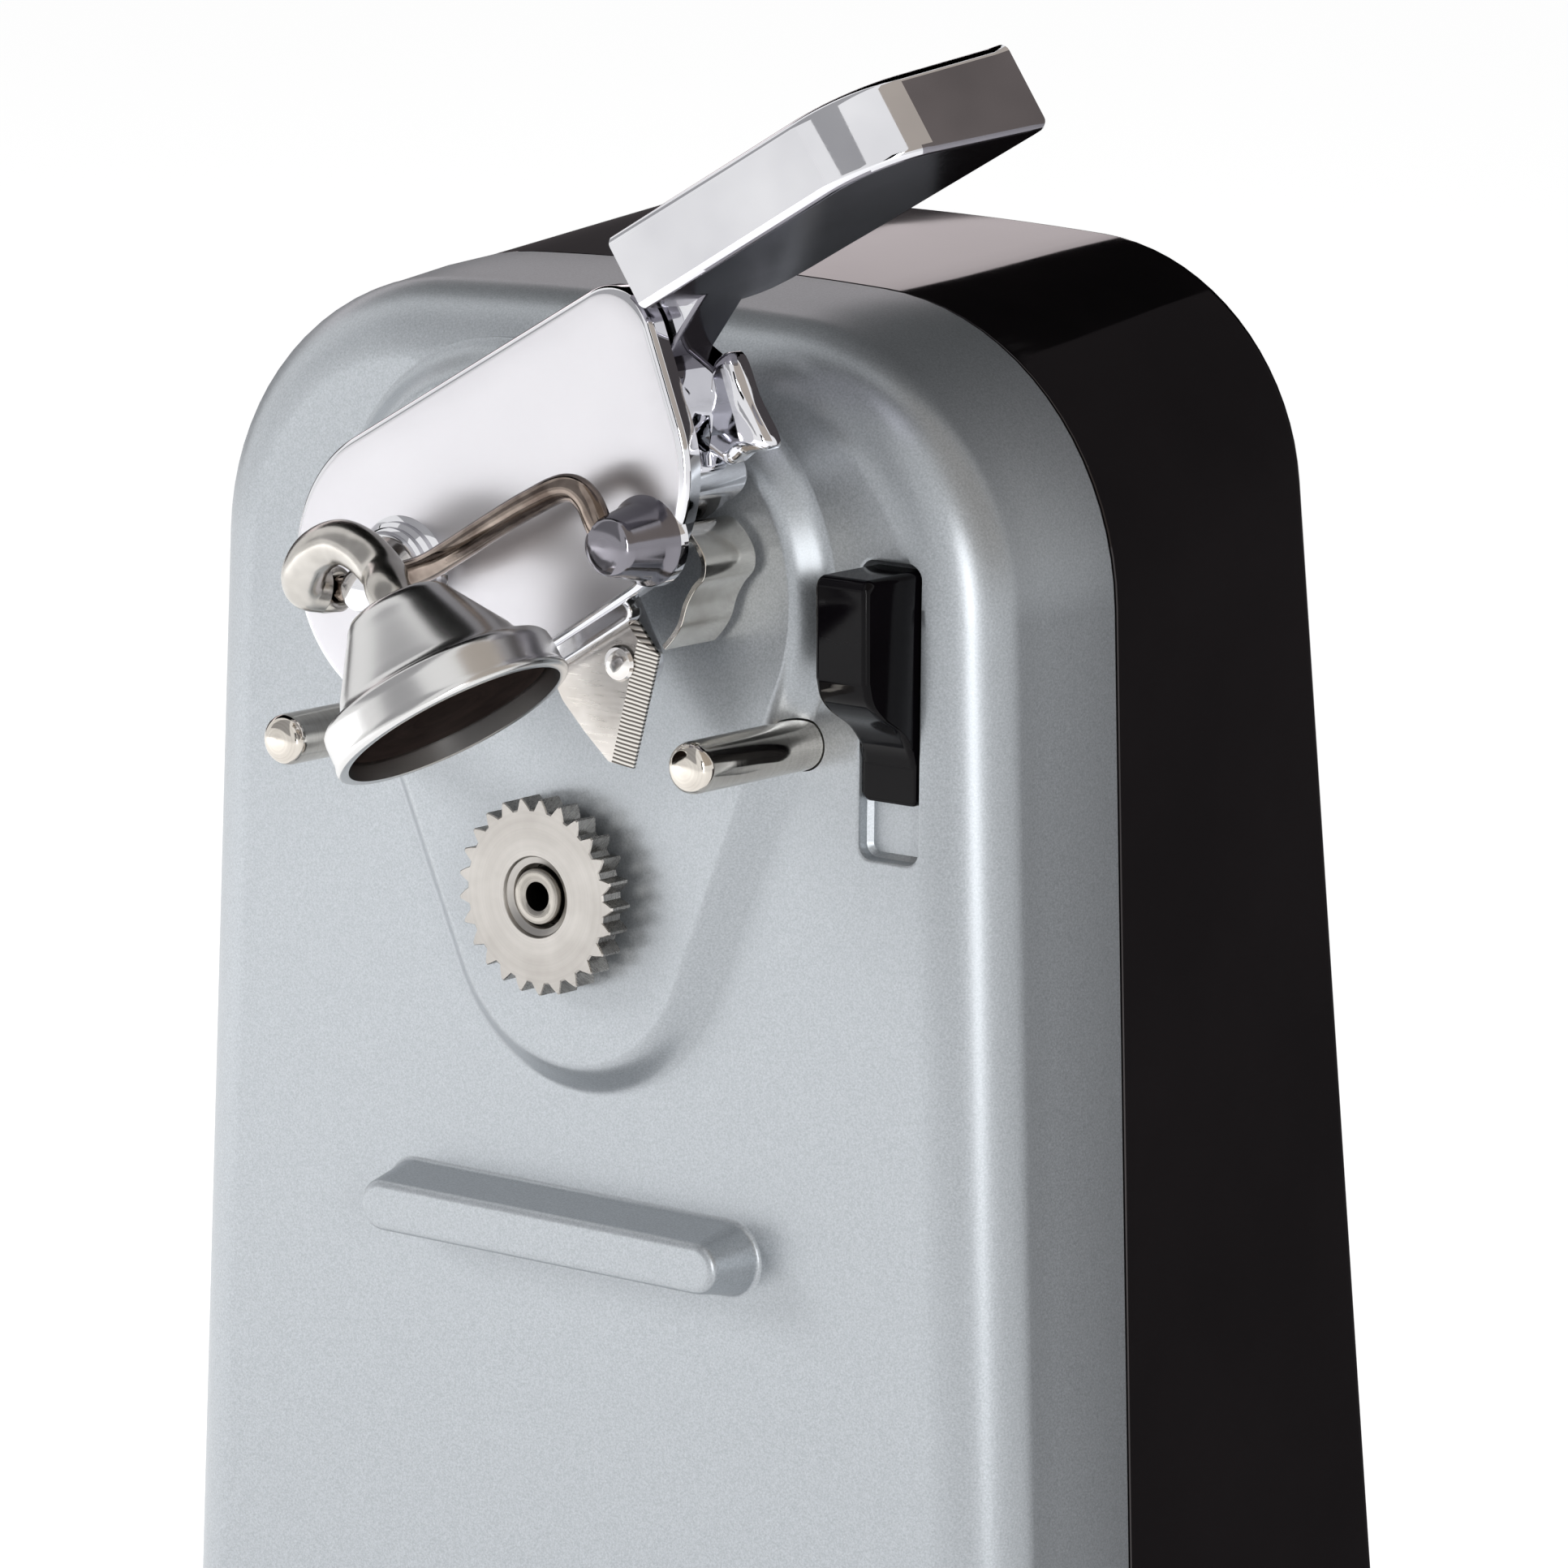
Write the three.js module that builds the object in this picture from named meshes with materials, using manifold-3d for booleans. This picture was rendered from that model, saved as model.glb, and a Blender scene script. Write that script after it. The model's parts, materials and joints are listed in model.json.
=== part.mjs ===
// Electric can opener with a lift-up cutting lever, a magnetic lid holder and a toothed drive wheel.
// Millimetres, +Z up. The front faces -Y, X runs to the right. The origin is the middle of the
// bounding box on the table. Mechanism sizes are counted from the drive wheel's axis, where it
// crosses the front face; lever sizes are counted from the lever's pivot, with the lever closed.
import * as THREE from 'three';
import { mergeVertices } from 'three/addons/utils/BufferGeometryUtils.js';
import Module from 'manifold-3d';

const wasm = await Module();
wasm.setup();

// ---- driving dimensions: body -------------------------------------------------------------
const gap = 0.3;              // clearance between neighbouring pieces

const axisHeight = 155;       // drive wheel axis above the table
const axisOffset = 1.1;       // drive wheel axis right of the body's middle
const footHeight = 3;         // what the feet lift the base off the table
const footRadius = 7;

const halfWidth = 52.9;       // body half width at the seam, at the height of the wheel axis
const sideTaper = 2.25;       // degrees each side widens downward
const crownHeight = 60.9;     // top of the seam above the wheel axis
const crownRadius = 465;      // gentle arch of the top
const shoulderRadius = 30.3;  // rounded shoulders at the seam
const coverDepth = 21;        // front face to seam
const coverDraft = 1.25;      // how much the cover narrows toward the front
const coverEdge = 8;          // rounding of the cover's front edge
const shellDepth = 41;        // seam to back edge, at the height of the wheel axis
const shellNarrowing = 2.8;   // how much each side draws in toward the back
const shellRise = 3;        // how much the top rises toward the back
const shellLean = 5.3;        // degrees the back leans, deeper at the base
const shellShoulder = 24.6;   // shoulder radius at the back edge
const shellEdge = 2.2;        // rounding of the shell's back edge
const wall = 2.5;             // wall of the cover and the shell
const baseThickness = 2.5;

const panelHeight = 3;        // raised panel round the mechanism
const panelTop = [9.4, 31.5, 21];     // its upper arcs, left and right: x, z, radius
const panelLow = [0, -3, 15.6];       // its lower arc
const panelDraft = 1.4;       // slope of the panel's wall, in width
const ledgeLength = 46.6;     // bar that steadies the can
const ledgeHeight = 5.4;
const ledgeDepth = 6;
const ledgeDraft = 1;
const ledgeMiddle = [-0.9, -35.2];

const glandRadius = 5.5;      // cord outlet in the back
const glandBore = 2.2;
const glandHeight = 22;       // its middle above the table

// ---- driving dimensions: drive ------------------------------------------------------------
const wheelRadius = 10;       // over the tips of the teeth
const wheelTeeth = 25;
const wheelThickness = 2.9;
const wheelFront = -7;      // its front face
const toothDepth = 1.15;
const shaftRadius = 4;
const bushRadius = 6;
const pinRadius = 2.6;        // guide pins
const pinReach = 18.7;        // how far they stand out of the front face
const rightPin = [28.3, 18];
const leftPin = [-24, 14.5];

const frameFront = 6;         // front frame plate of the gear train
const frameRear = 26;         // rear frame plate
const frameThickness = 2;
const frameInset = 20.5;      // its edge from the body's side at the wheel axis
const frameTop = 45;
const frontFrameLow = -63;
const rearFrameLow = -74;
const postRadius = 3;
const postInset = 5;          // posts and screws from the frame's edge
const postHeights = [24, -46];
const screwRadius = 1.5;
const screwHeights = [38, -57];
const gearB = [-12, -25.3];   // arbors of the gear train
const gearA = [-2, -45.5];
const motorAxis = [5, -67.1];
const arborRadius = 1.5;
const outputTeeth = 46;
const wheelBTeeth = 40;
const wheelATeeth = 56;
const smallTeeth = 10;
const motorTeeth = 9;
const firstLayer = [9.5, 13]; // where the three pairs of gears lie, front to back
const secondLayer = [14.5, 20.5];
const thirdLayer = [21.7, 24.5];

const stackDepth = 16;        // motor laminations
const stackSize = [62, 68];
const boreRadius = 14;
const airGap = 0.6;
const rotorShaftRadius = 2;
const windowSize = [46, 18];  // opening in the laminations for the coil
const coilLeg = 10;
const coilWidth = 36;
const coilBuild = 4;          // thickness of the winding
const motorScrewInset = 9;    // from the laminations' sides
const bracketStand = 3;       // rear bearing bracket behind the laminations

// ---- driving dimensions: switch -----------------------------------------------------------
const sliderWidth = 6.5;      // switch slider in its track
const sliderInset = 14;       // its middle from the body's side at the wheel axis
const sliderTop = 36.5;
const sliderLength = 23.2;
const sliderReach = 8;        // thumb block, proud of the face
const sliderFoot = -0.2;      // lower tongue, just below the face
const sliderTravel = 4.2;
const trackDepth = 1.8;
const stem = [3.4, 9, 9.4];   // stem behind the slider: width, length, height
const stemDrop = 6.5;         // its top below the slider's top
const plunger = [2.6, 2.6, 11];
const switchSize = [8, 10, 18];

// ---- driving dimensions: lever ------------------------------------------------------------
const pivot = [-6, 35];       // lever pivot
const leverOpen = 35;         // degrees the lever stands open
const plateFront = -15.5;     // front of the lever's plate
const plateThickness = 2.7;
const plateCircles = [[-4.5, 0.4, 14.7], [20.5, -1.5, 14.1], [31.2, 6.2, 5.5]];
const plateEdge = 0.9;        // rounding of the plate's front edge
const leverBack = -3.4;       // back of the lever, just clear of the panel
const hubRadius = 9;
const studRadius = 3.5;
const handleFront = -18;      // front of the handle
const handleHeight = 8;
const handleSlope = 0.085;     // fall of the handle toward its end
const handleBelly = 0.07;     // how its underside drops toward the back
const handleEdge = 0.8;
const handleTop = [38.6, 13.7];       // its top corner next to the plate
const handleCorner = [64, 10.5];      // where its front corner starts, and the corner's radius
const handleEnd = [79, -0.2];         // its far corner, u and y
const handleInner = [[61, -0.8], [52, -1.6], [42, -3], [38.8, -6]];   // its back edge
const postAt = [-4.7, 0.3];   // boss that the magnet's wire passes through
const postFront = -18.6;
const postNose = [2.2, -23.2];        // lug that holds the wire: radius and front
const coneAt = [23.8, -12.4]; // boss that holds the wire's other end
const coneFront = -22.3;
const wireRadius = 1.4;
const wireAt = [-21.2, -0.2]; // wire in the post: y and w
const wireSlope = -0.45;      // its rise along u left of the post
const bladeThickness = 1.2;
const bladeFront = -12.3;
const bladeRivet = [12.4, -19.5];
const springThickness = 0.6;
const springSides = [-11.6, -3.8];
const springRivet = [23, -7.6];     // u and y

const sleeveMiddle = -9.2;     // eye that turns on the wire, along u
const sleeveLength = 2.6;
const hookRadius = 2.1;
const cupAt = [5.6, -31];     // cup's axis, u and y
const cupMouth = -19.9;       // height of its mouth
const cupRadius = 12.2;
const cupRim = 4.6;           // height of its straight rim
const cupHeight = 13.5;
const cupTopRadius = 5;
const cupWall = 0.9;
const discThickness = 2.4;
const discRecess = 1.6;

// ---- materials ----------------------------------------------------------------------------
const finish = (color, roughness, metalness) =>
  new THREE.MeshStandardMaterial({ color, roughness, metalness });
const silverPaint = finish(0xb4bac0, 0.42, 0.6);
const glossBlack = finish(0x0c0b0d, 0.08, 0);
const mattBlack = finish(0x17171a, 0.6, 0);
const rubber = finish(0x1b1b1c, 0.85, 0);
const chrome = finish(0xdcdde0, 0.06, 1);
const steel = finish(0xb9b6b0, 0.28, 1);
const brightSteel = finish(0xcfc9c0, 0.14, 1);
const nickel = finish(0xa79c93, 0.12, 1);
const zinc = finish(0x9da3a8, 0.4, 1);
const brass = finish(0xb08d4a, 0.3, 1);
const copper = finish(0x9a5a33, 0.4, 1);
const nylon = finish(0xe6e2d6, 0.5, 0);
const ferrite = finish(0x2c2524, 0.55, 0.1);

// ---- solids -------------------------------------------------------------------------------
const radians = THREE.MathUtils.degToRad;
const degrees = THREE.MathUtils.radToDeg;

// turns a closed geometry into a solid that can be cut and joined
function solid(geometry) {
  const bare = geometry.clone();
  bare.deleteAttribute('normal');
  bare.deleteAttribute('uv');
  const merged = mergeVertices(bare, 1e-4);
  const vertProperties = new Float32Array(merged.attributes.position.array);
  const triVerts = new Uint32Array(merged.index.array);
  const part = new wasm.Manifold(new wasm.Mesh({ numProp: 3, vertProperties, triVerts }));
  if (part.volume() >= 0) return part;
  for (let i = 0; i < triVerts.length; i += 3) {
    [triVerts[i + 1], triVerts[i + 2]] = [triVerts[i + 2], triVerts[i + 1]];
  }
  return new wasm.Manifold(new wasm.Mesh({ numProp: 3, vertProperties, triVerts }));
}

// gives a solid back as a geometry
function geometryOf(part) {
  const mesh = part.getMesh();
  const geometry = new THREE.BufferGeometry();
  geometry.setAttribute('position', new THREE.BufferAttribute(mesh.vertProperties, 3));
  geometry.setIndex(new THREE.BufferAttribute(mesh.triVerts, 1));
  geometry.computeVertexNormals();
  return geometry;
}

const join = (...parts) => parts.reduce((whole, part) => whole.add(part));
const cut = (whole, ...parts) => parts.reduce((rest, part) => rest.subtract(part), whole);

// skins a row of outlines that all have the same number of points [x, y, z]
function loft(sections) {
  const count = sections[0].length;
  const faces = [];
  for (let s = 0; s + 1 < sections.length; s += 1) {
    for (let i = 0; i < count; i += 1) {
      const a = s * count + i;
      const b = s * count + (i + 1) % count;
      faces.push(a, b, b + count, a, b + count, a + count);
    }
  }
  const flat = (section) => {
    const spread = (k) => Math.max(...section.map((p) => p[k])) - Math.min(...section.map((p) => p[k]));
    const [j, k] = spread(1) > spread(2) ? [0, 1] : [0, 2];
    return section.map((p) => new THREE.Vector2(p[j], p[k]));
  };
  const last = (sections.length - 1) * count;
  const turn = THREE.ShapeUtils.isClockWise(flat(sections[0])) ? -1 : 1;
  const cap = (section, start, side) => {
    for (const [a, b, c] of THREE.ShapeUtils.triangulateShape(flat(section), [])) {
      const facing = Math.sign(THREE.ShapeUtils.area([a, b, c].map((i) => flat(section)[i])));
      if (facing === 0) continue;
      faces.push(...(facing * turn * side > 0 ? [a, b, c] : [c, b, a]).map((i) => start + i));
    }
  };
  cap(sections[0], 0, -1);
  cap(sections.at(-1), last, 1);
  const geometry = new THREE.BufferGeometry();
  geometry.setAttribute('position', new THREE.Float32BufferAttribute(sections.flat(2), 3));
  geometry.setIndex(faces);
  return solid(geometry);
}

// an outline [x, z] carried straight from y0 to y1
const prism = (outline, y0, y1) => loft([y0, y1].map((y) => outline.map(([x, z]) => [x, y, z])));

// a profile [radius, y] turned about the Y axis through (x, z)
function turned(profile, [x, z] = [0, 0], segments = 16) {
  const points = profile.map(([r, y]) => new THREE.Vector2(r, y));
  return solid(new THREE.LatheGeometry(points, segments)).translate([x, 0, z]);
}

// a profile [radius, z] turned about the Z axis through (x, y)
function stood(profile, [x, y] = [0, 0], segments = 16) {
  return turned(profile, [0, 0], segments).rotate([90, 0, 0]).translate([x, y, 0]);
}

const rodProfile = (radius, from, to) => [[0, from], [radius, from], [radius, to], [0, to]];

// a plain round bar along Y, and one along Z
const bar = (radius, y0, y1, at = [0, 0], segments = 16) => turned(rodProfile(radius, y0, y1), at, segments);
const upright = (radius, z0, z1, at, segments = 12) => stood(rodProfile(radius, z0, z1), at, segments);

// the cutter for a round hole that clears a bar of this radius by the gap, between its facets too
const holeRadius = (radius, segments) => (radius + gap) / Math.cos(Math.PI / segments);
const hole = (radius, y0, y1, at = [0, 0], segments = 12) =>
  bar(holeRadius(radius, segments), y0, y1, at, segments);
const uprightHole = (radius, z0, z1, at, segments = 12) =>
  upright(holeRadius(radius, segments), z0, z1, at, segments);

// a box given by its middle and its size
const block = (middle, size) => solid(new THREE.BoxGeometry(...size)).translate(middle);

// a smooth curve through points
const curveOf = (points) =>
  new THREE.CatmullRomCurve3(points.map((p) => new THREE.Vector3(...p)), false, 'centripetal');

// a round section swept along a smooth curve through the points
function rod(points, radius, steps = 32, sides = 12) {
  const ring = new THREE.Shape().absarc(0, 0, radius, 0, Math.PI * 2);
  const options = { extrudePath: curveOf(points), steps, curveSegments: sides };
  return solid(new THREE.ExtrudeGeometry(ring, options));
}

// points along an arc, angles in degrees
function arc([x, z], radius, from, to, steps) {
  return Array.from({ length: steps + 1 }, (_, i) => {
    const a = radians(from + (to - from) * i / steps);
    return [x + radius * Math.cos(a), z + radius * Math.sin(a)];
  });
}

// outline round a loop of circles [x, z, radius], joined by their tangents, counterclockwise
function hull(circles, grow = 0, stepAngle = 18) {
  const facing = circles.map(([x, z, r], i) => {
    const [x2, z2, r2] = circles[(i + 1) % circles.length];
    const tilt = Math.acos((r - r2) / Math.hypot(x2 - x, z2 - z));
    return degrees(Math.atan2(z2 - z, x2 - x) - tilt);
  });
  return circles.flatMap(([x, z, r], i) => {
    const from = facing.at(i - 1);
    const turn = (facing[i] - from + 720) % 360;
    return arc([x, z], r + grow, from, from + turn, Math.max(1, Math.round(turn / stepAngle)));
  });
}

// rounded rectangle about its middle
function roundedBox([x, z], [width, height], radius, stepAngle = 30) {
  const dx = width / 2 - radius;
  const dz = height / 2 - radius;
  const corners = [[dx, -dz], [dx, dz], [-dx, dz], [-dx, -dz]];
  return hull(corners.map(([cx, cz]) => [x + cx, z + cz, radius]), 0, stepAngle);
}

const opener = new THREE.Group();
const mechanism = new THREE.Group();
mechanism.position.set(axisOffset, 0, axisHeight);
opener.add(mechanism);

function place(name, part, material, parent = mechanism) {
  const mesh = new THREE.Mesh(geometryOf(part), material);
  mesh.name = name;
  parent.add(mesh);
}

// ---- body ---------------------------------------------------------------------------------
// Outline of the body, seen from the front: straight tapered sides and round shoulders moved
// outward by grow, a gently arched top moved by rise, all ending at the height called floor.
const taper = radians(sideTaper);
const halfWidthAt = (z, grow) => halfWidth + grow / Math.cos(taper) + (axisHeight - z) * Math.tan(taper);

function bodyOutline(grow, shoulder, floor, rise = grow) {
  const crown = crownRadius + rise;
  const round = shoulder + grow;
  const crownMiddle = axisHeight + crownHeight - crownRadius;
  // the shoulder's middle runs up a line parallel to the side until its arc meets the crown's
  const foot = [halfWidthAt(axisHeight, grow) - round / Math.cos(taper), axisHeight - crownMiddle];
  const up = [-Math.sin(taper), Math.cos(taper)];
  const along = foot[0] * up[0] + foot[1] * up[1];
  const reach = -along + Math.sqrt(along ** 2 - foot[0] ** 2 - foot[1] ** 2 + (crown - round) ** 2);
  const middle = [foot[0] + reach * up[0], crownMiddle + foot[1] + reach * up[1]];
  const meet = degrees(Math.atan2(middle[1] - crownMiddle, middle[0]));
  const right = [
    [halfWidthAt(floor, grow), floor],
    ...arc(middle, round, sideTaper, meet, 7),
    ...arc([0, crownMiddle], crown, meet, 90, 3).slice(1),
  ];
  const left = right.slice(0, -1).reverse().map(([x, z]) => [-x, z]);
  return [...right, ...left];
}

const quarter = (steps) => Array.from({ length: steps + 1 }, (_, i) => Math.PI / 2 * i / steps);
const backAt = (z) => coverDepth + shellDepth - Math.tan(radians(shellLean)) * (z - axisHeight);

// cover section from the seam to the front: [depth, outward growth], moved in by inset
function coverSection(inset) {
  const edge = coverEdge - inset;
  const round = quarter(4).map((a) =>
    [inset + edge * (1 - Math.sin(a)), -inset - coverDraft - edge * (1 - Math.cos(a))]);
  return [[coverDepth, -inset], ...round];
}

// shell section near the back: [depth less the back's, sideways growth], moved in by inset
function shellSection(inset) {
  const edge = Math.max(shellEdge - inset, 0.5);
  return quarter(3).map((a) =>
    [-inset - edge * (1 - Math.sin(a)), -shellNarrowing - inset - edge * (1 - Math.cos(a))]);
}

function coverBody(inset, floor, seam) {
  const rows = coverSection(inset).map(([y, grow], i) =>
    bodyOutline(grow, shoulderRadius, floor).map(([x, z]) => [x, i === 0 ? seam : y, z]));
  return loft(rows);
}

function shellBody(inset, floor, seam) {
  const first = bodyOutline(-inset, shoulderRadius, floor).map(([x, z]) => [x, seam, z]);
  const rows = shellSection(inset).map(([behind, grow]) => {
    const outline = bodyOutline(grow, shellShoulder + shellNarrowing, floor, grow + shellNarrowing + shellRise);
    return outline.map(([x, z]) => [x, backAt(z) + behind, z]);
  });
  return loft([first, ...rows]);
}

const frameWidth = 2 * (halfWidth - frameInset);
const besideFrame = (heights) =>
  heights.flatMap((z) => [-1, 1].map((side) => [side * (frameWidth / 2 - postInset), z]));
const posts = besideFrame(postHeights);
const frameScrews = besideFrame(screwHeights);

const underside = footHeight;
const baseTop = underside + baseThickness;
const toMechanism = (part) => part.translate([-axisOffset, 0, -axisHeight]);

// a pad that rises from the front face: drafted wall, then a small rounded edge
function pad(outline, height, draft, edge = 0.8) {
  const rows = [[1, draft], [0, draft], [edge - height, 0], [0.3 * edge - height, -0.3 * edge], [-height, -edge]];
  return loft(rows.map(([y, grow]) => outline(grow).map(([x, z]) => [x, y, z])));
}

const panelOutline = (grow) => {
  const [x, z, r] = panelTop;
  return hull([panelLow, [x, z, r], [-x, z, r]], grow, 15);
};

const ledgeOutline = (grow) => {
  const [x, z] = ledgeMiddle;
  const reach = (ledgeLength - ledgeHeight) / 2;
  return hull([[x + reach, z, ledgeHeight / 2], [x - reach, z, ledgeHeight / 2]], grow, 22.5);
};

const sliderX = halfWidth - sliderInset;
const sliderBottom = sliderTop - sliderLength;
const trackTop = sliderTop + 1;
const trackBottom = sliderBottom - sliderTravel - 1.5;
const trackMiddle = [sliderX, (trackTop + trackBottom) / 2];
const trackSize = [sliderWidth + 2 * gap, trackTop - trackBottom];
const trackFloor = trackDepth + wall;
const stemTop = sliderTop - stemDrop;
const plungerTop = stemTop - stem[2] - gap;
const switchTop = plungerTop - sliderTravel - 1;
const switchFront = trackFloor + 2 * gap;
const switchMiddle = [sliderX, switchFront + switchSize[1] / 2, switchTop - switchSize[2] / 2];

// where screws come up through the base into bosses against the walls: x, y
const bossRadius = 4.5;
const bossTop = baseTop + 14;
const bossSide = halfWidthAt(bossTop, 0) - bossRadius - 2.2;
const rearSide = bossSide - shellNarrowing + 1;
const coverBosses = [-1, 1].map((side) => [side * bossSide, coverDepth - bossRadius - 2.5]);
const shellBosses = [-1, 1].map((side) => [side * rearSide, backAt(bossTop) - bossRadius - 4.3]);
const screwHole = (at) => uprightHole(screwRadius, underside - 1, bossTop - 3, at, 8);
const cornerBoss = (at) => upright(bossRadius, baseTop + gap, bossTop, at, 16);

// a pocket of ribs that holds the switch, and the room that the pocket and the switch need
const pocketRib = 1.5;
const pocketWidth = switchSize[0] + 2 * (gap + pocketRib);

function switchPocket() {
  const [x, , z] = switchMiddle;
  const [width, depth, height] = switchSize;
  const y = (wall + switchFront + depth / 2) / 2;
  const deep = switchFront + depth / 2 - wall + 1;
  const outer = block([x, y, z - 1], [pocketWidth, deep, height + pocketRib]);
  const inner = block([x, y, z], [width + 2 * gap, deep + 2, height + 2 * gap]);
  return outer.subtract(inner);
}

const switchRoom = () =>
  block(switchMiddle, [pocketWidth + 2 * gap, 2 * switchSize[1], switchSize[2] + 2 * pocketRib]);

function frontCover() {
  const hollow = coverBody(wall, underside - 5, coverDepth + 1);
  let cover = join(coverBody(0, underside, coverDepth).subtract(hollow), ...coverBosses.map(cornerBoss));
  cover = toMechanism(cut(cover, ...coverBosses.map(screwHole)));
  cover = join(cover, pad(panelOutline, panelHeight, panelDraft), pad(ledgeOutline, ledgeDepth, ledgeDraft));
  cover = join(cover, prism(roundedBox(trackMiddle, trackSize.map((s) => s + 4), 2), wall - 0.5, trackFloor));
  cover = join(cover, switchPocket());
  cover = join(cover, ...frameScrews.map((at) => bar(screwRadius + 2, wall - 0.5, frameFront - gap, at, 8)));
  const slotSize = [stem[0] + 2 * gap, stem[2] + sliderTravel + 2 * gap];
  const slotMiddle = [sliderX, stemTop - (stem[2] + sliderTravel) / 2];
  cover = cut(
    cover,
    prism(roundedBox(trackMiddle, trackSize, 1.2), -1, trackDepth),
    prism(roundedBox(slotMiddle, slotSize, 0.8), 0, trackFloor + 1),
    ...frameScrews.map((at) => hole(screwRadius, wall, frameFront, at, 8)),
  );
  const holes = [[rightPin, pinRadius], [leftPin, pinRadius], [pivot, studRadius], [[0, 0], bushRadius]];
  return cut(cover, ...holes.map(([at, radius]) => hole(radius, -panelHeight - 1, wall + 1, at, 16)));
}

// turns what is drawn about the Y axis square to the leaning back, at the cord outlet
const onBack = (part) => part.rotate([shellLean, 0, 0]).translate([0, backAt(glandHeight), glandHeight]);

function rearShell() {
  const hollow = shellBody(wall, underside - 5, coverDepth - 1);
  const shell = join(shellBody(0, underside, coverDepth + gap).subtract(hollow), ...shellBosses.map(cornerBoss));
  const outlet = onBack(hole(glandRadius, -wall - 5, 5, [0, 0], 16));
  return toMechanism(cut(shell, outlet, ...shellBosses.map(screwHole)));
}

// rubber bush in the cord outlet, held by a lip on each side of the wall
function cordGland() {
  const lip = glandRadius + 1.6;
  const bush = turned([
    [glandBore, 1.9], [lip - 0.6, 1.9], [lip, 1.2], [lip, gap], [glandRadius, gap], [glandRadius, -wall - gap],
    [lip - 0.5, -wall - gap], [lip - 0.5, -wall - 1.4], [glandBore, -wall - 1.4], [glandBore, 1.9],
  ], [0, 0], 16);
  return toMechanism(onBack(bush));
}

// base plate: closes the body from below, inside both walls
const footStem = 3;
const footStep = 11.5;        // from each screw toward the middle
const footPlaces = [...coverBosses, ...shellBosses].map(([x, y]) => [x - Math.sign(x) * footStep, y]);

function basePlate() {
  const inset = wall + gap;
  const front = coverSection(inset).reverse().map(([y, grow]) => [halfWidthAt(baseTop, grow), y]);
  const rear = shellSection(inset).map(([behind, grow]) => [halfWidthAt(baseTop, grow), backAt(baseTop) + behind]);
  const right = [...front, ...rear];
  const outline = [...right, ...right.slice().reverse().map(([x, y]) => [-x, y])];
  const plate = loft([underside, baseTop].map((z) => outline.map(([x, y]) => [x, y, z])));
  const stems = footPlaces.map((at) => uprightHole(footStem, underside - 1, baseTop + 1, at));
  return toMechanism(cut(plate, ...stems, ...[...coverBosses, ...shellBosses].map(screwHole)));
}

const foot = (at) => toMechanism(stood([
  [0, 0], [footRadius - 0.8, 0], [footRadius, 0.8], [footRadius, underside - gap], [footStem, underside - gap],
  [footStem, baseTop + 1.5], [0, baseTop + 1.5],
], at, 12));

const baseScrew = (at) => toMechanism(stood([
  [0, underside - 1.9], [2.4, underside - 1.9], [2.8, underside - 1.4], [2.8, underside - gap],
  [screwRadius, underside - gap], [screwRadius, bossTop - 4], [0, bossTop - 4],
], at, 8));

// ---- gear teeth ---------------------------------------------------------------------------
// outline of a wheel with straight-flanked teeth: each tooth's corners as [radius, share of a step]
function toothed(teeth, corners, phase) {
  const step = 360 / teeth;
  return Array.from({ length: teeth }, (_, i) => corners.map(([radius, share]) => {
    const a = radians((i + phase + share) * step);
    return [radius * Math.cos(a), radius * Math.sin(a)];
  })).flat();
}

function gear(teeth, module, [y0, y1], [x, z], phase) {
  const tip = (teeth / 2 + 0.8) * module;
  const root = (teeth / 2 - 1.1) * module;
  const corners = [[root, -0.3], [tip, -0.12], [tip, 0.12], [root, 0.3]];
  return prism(toothed(teeth, corners, phase), y0, y1).translate([x, 0, z]);
}

// the phase that puts a gap of a gear at "to" on the tooth its neighbour at "from" points at it
function meshPhase(teeth, from, to, neighbourTeeth, neighbourPhase) {
  const towards = Math.atan2(to[1] - from[1], to[0] - from[0]) / (2 * Math.PI);
  return (towards + 0.5) * teeth + 0.5 + towards * neighbourTeeth - neighbourPhase;
}

const distance = (a, b) => Math.hypot(b[0] - a[0], b[1] - a[1]);
const outputModule = distance([0, 0], gearB) * 2 / (outputTeeth + smallTeeth);
const moduleB = distance(gearB, gearA) * 2 / (wheelBTeeth + smallTeeth);
const moduleA = distance(gearA, motorAxis) * 2 / (wheelATeeth + motorTeeth);

// ---- drive wheel, shaft and frame ---------------------------------------------------------
const wheelBack = wheelFront + wheelThickness;
const hubHole = 3.2;

function driveWheel() {
  const root = wheelRadius - toothDepth;
  const corners = [[root, -0.42], [wheelRadius, -0.05], [wheelRadius, 0.05], [root, 0.3]];
  const disc = prism(toothed(wheelTeeth, corners, 8.01), wheelFront, wheelBack);
  return disc.subtract(turned([
    [0, wheelFront - 1], [4.5, wheelFront - 1], [4.1, wheelFront], [3.8, wheelFront + 0.5],
    [hubHole, wheelFront + 0.7], [hubHole, wheelBack + 1], [0, wheelBack + 1],
  ]));
}

function driveShaft() {
  const tip = wheelFront + 0.15;
  const nose = hubHole - gap;
  const tail = frameRear + frameThickness + 1;
  return turned([
    [0, tip + 3.2], [1.1, tip + 2.6], [1.2, tip + 0.6], [1.8, tip + 0.15], [nose - 0.4, tip],
    [nose, tip + 0.35], [nose, wheelBack + gap], [shaftRadius, wheelBack + gap],
    [shaftRadius, frameRear - gap], [2.5, frameRear - gap], [2.5, tail], [0, tail],
  ]);
}

function shaftBushing() {
  const front = -panelHeight + 0.6;
  const back = frameFront - gap;
  const inner = shaftRadius + gap;
  return turned([
    [inner, front], [bushRadius - 0.6, front], [bushRadius, front + 0.6], [bushRadius, back], [inner, back],
    [inner, front],
  ]);
}

const frameBack = frameFront + frameThickness;
const rearFrameBack = frameRear + frameThickness;
const pinTail = 1.8;

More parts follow.
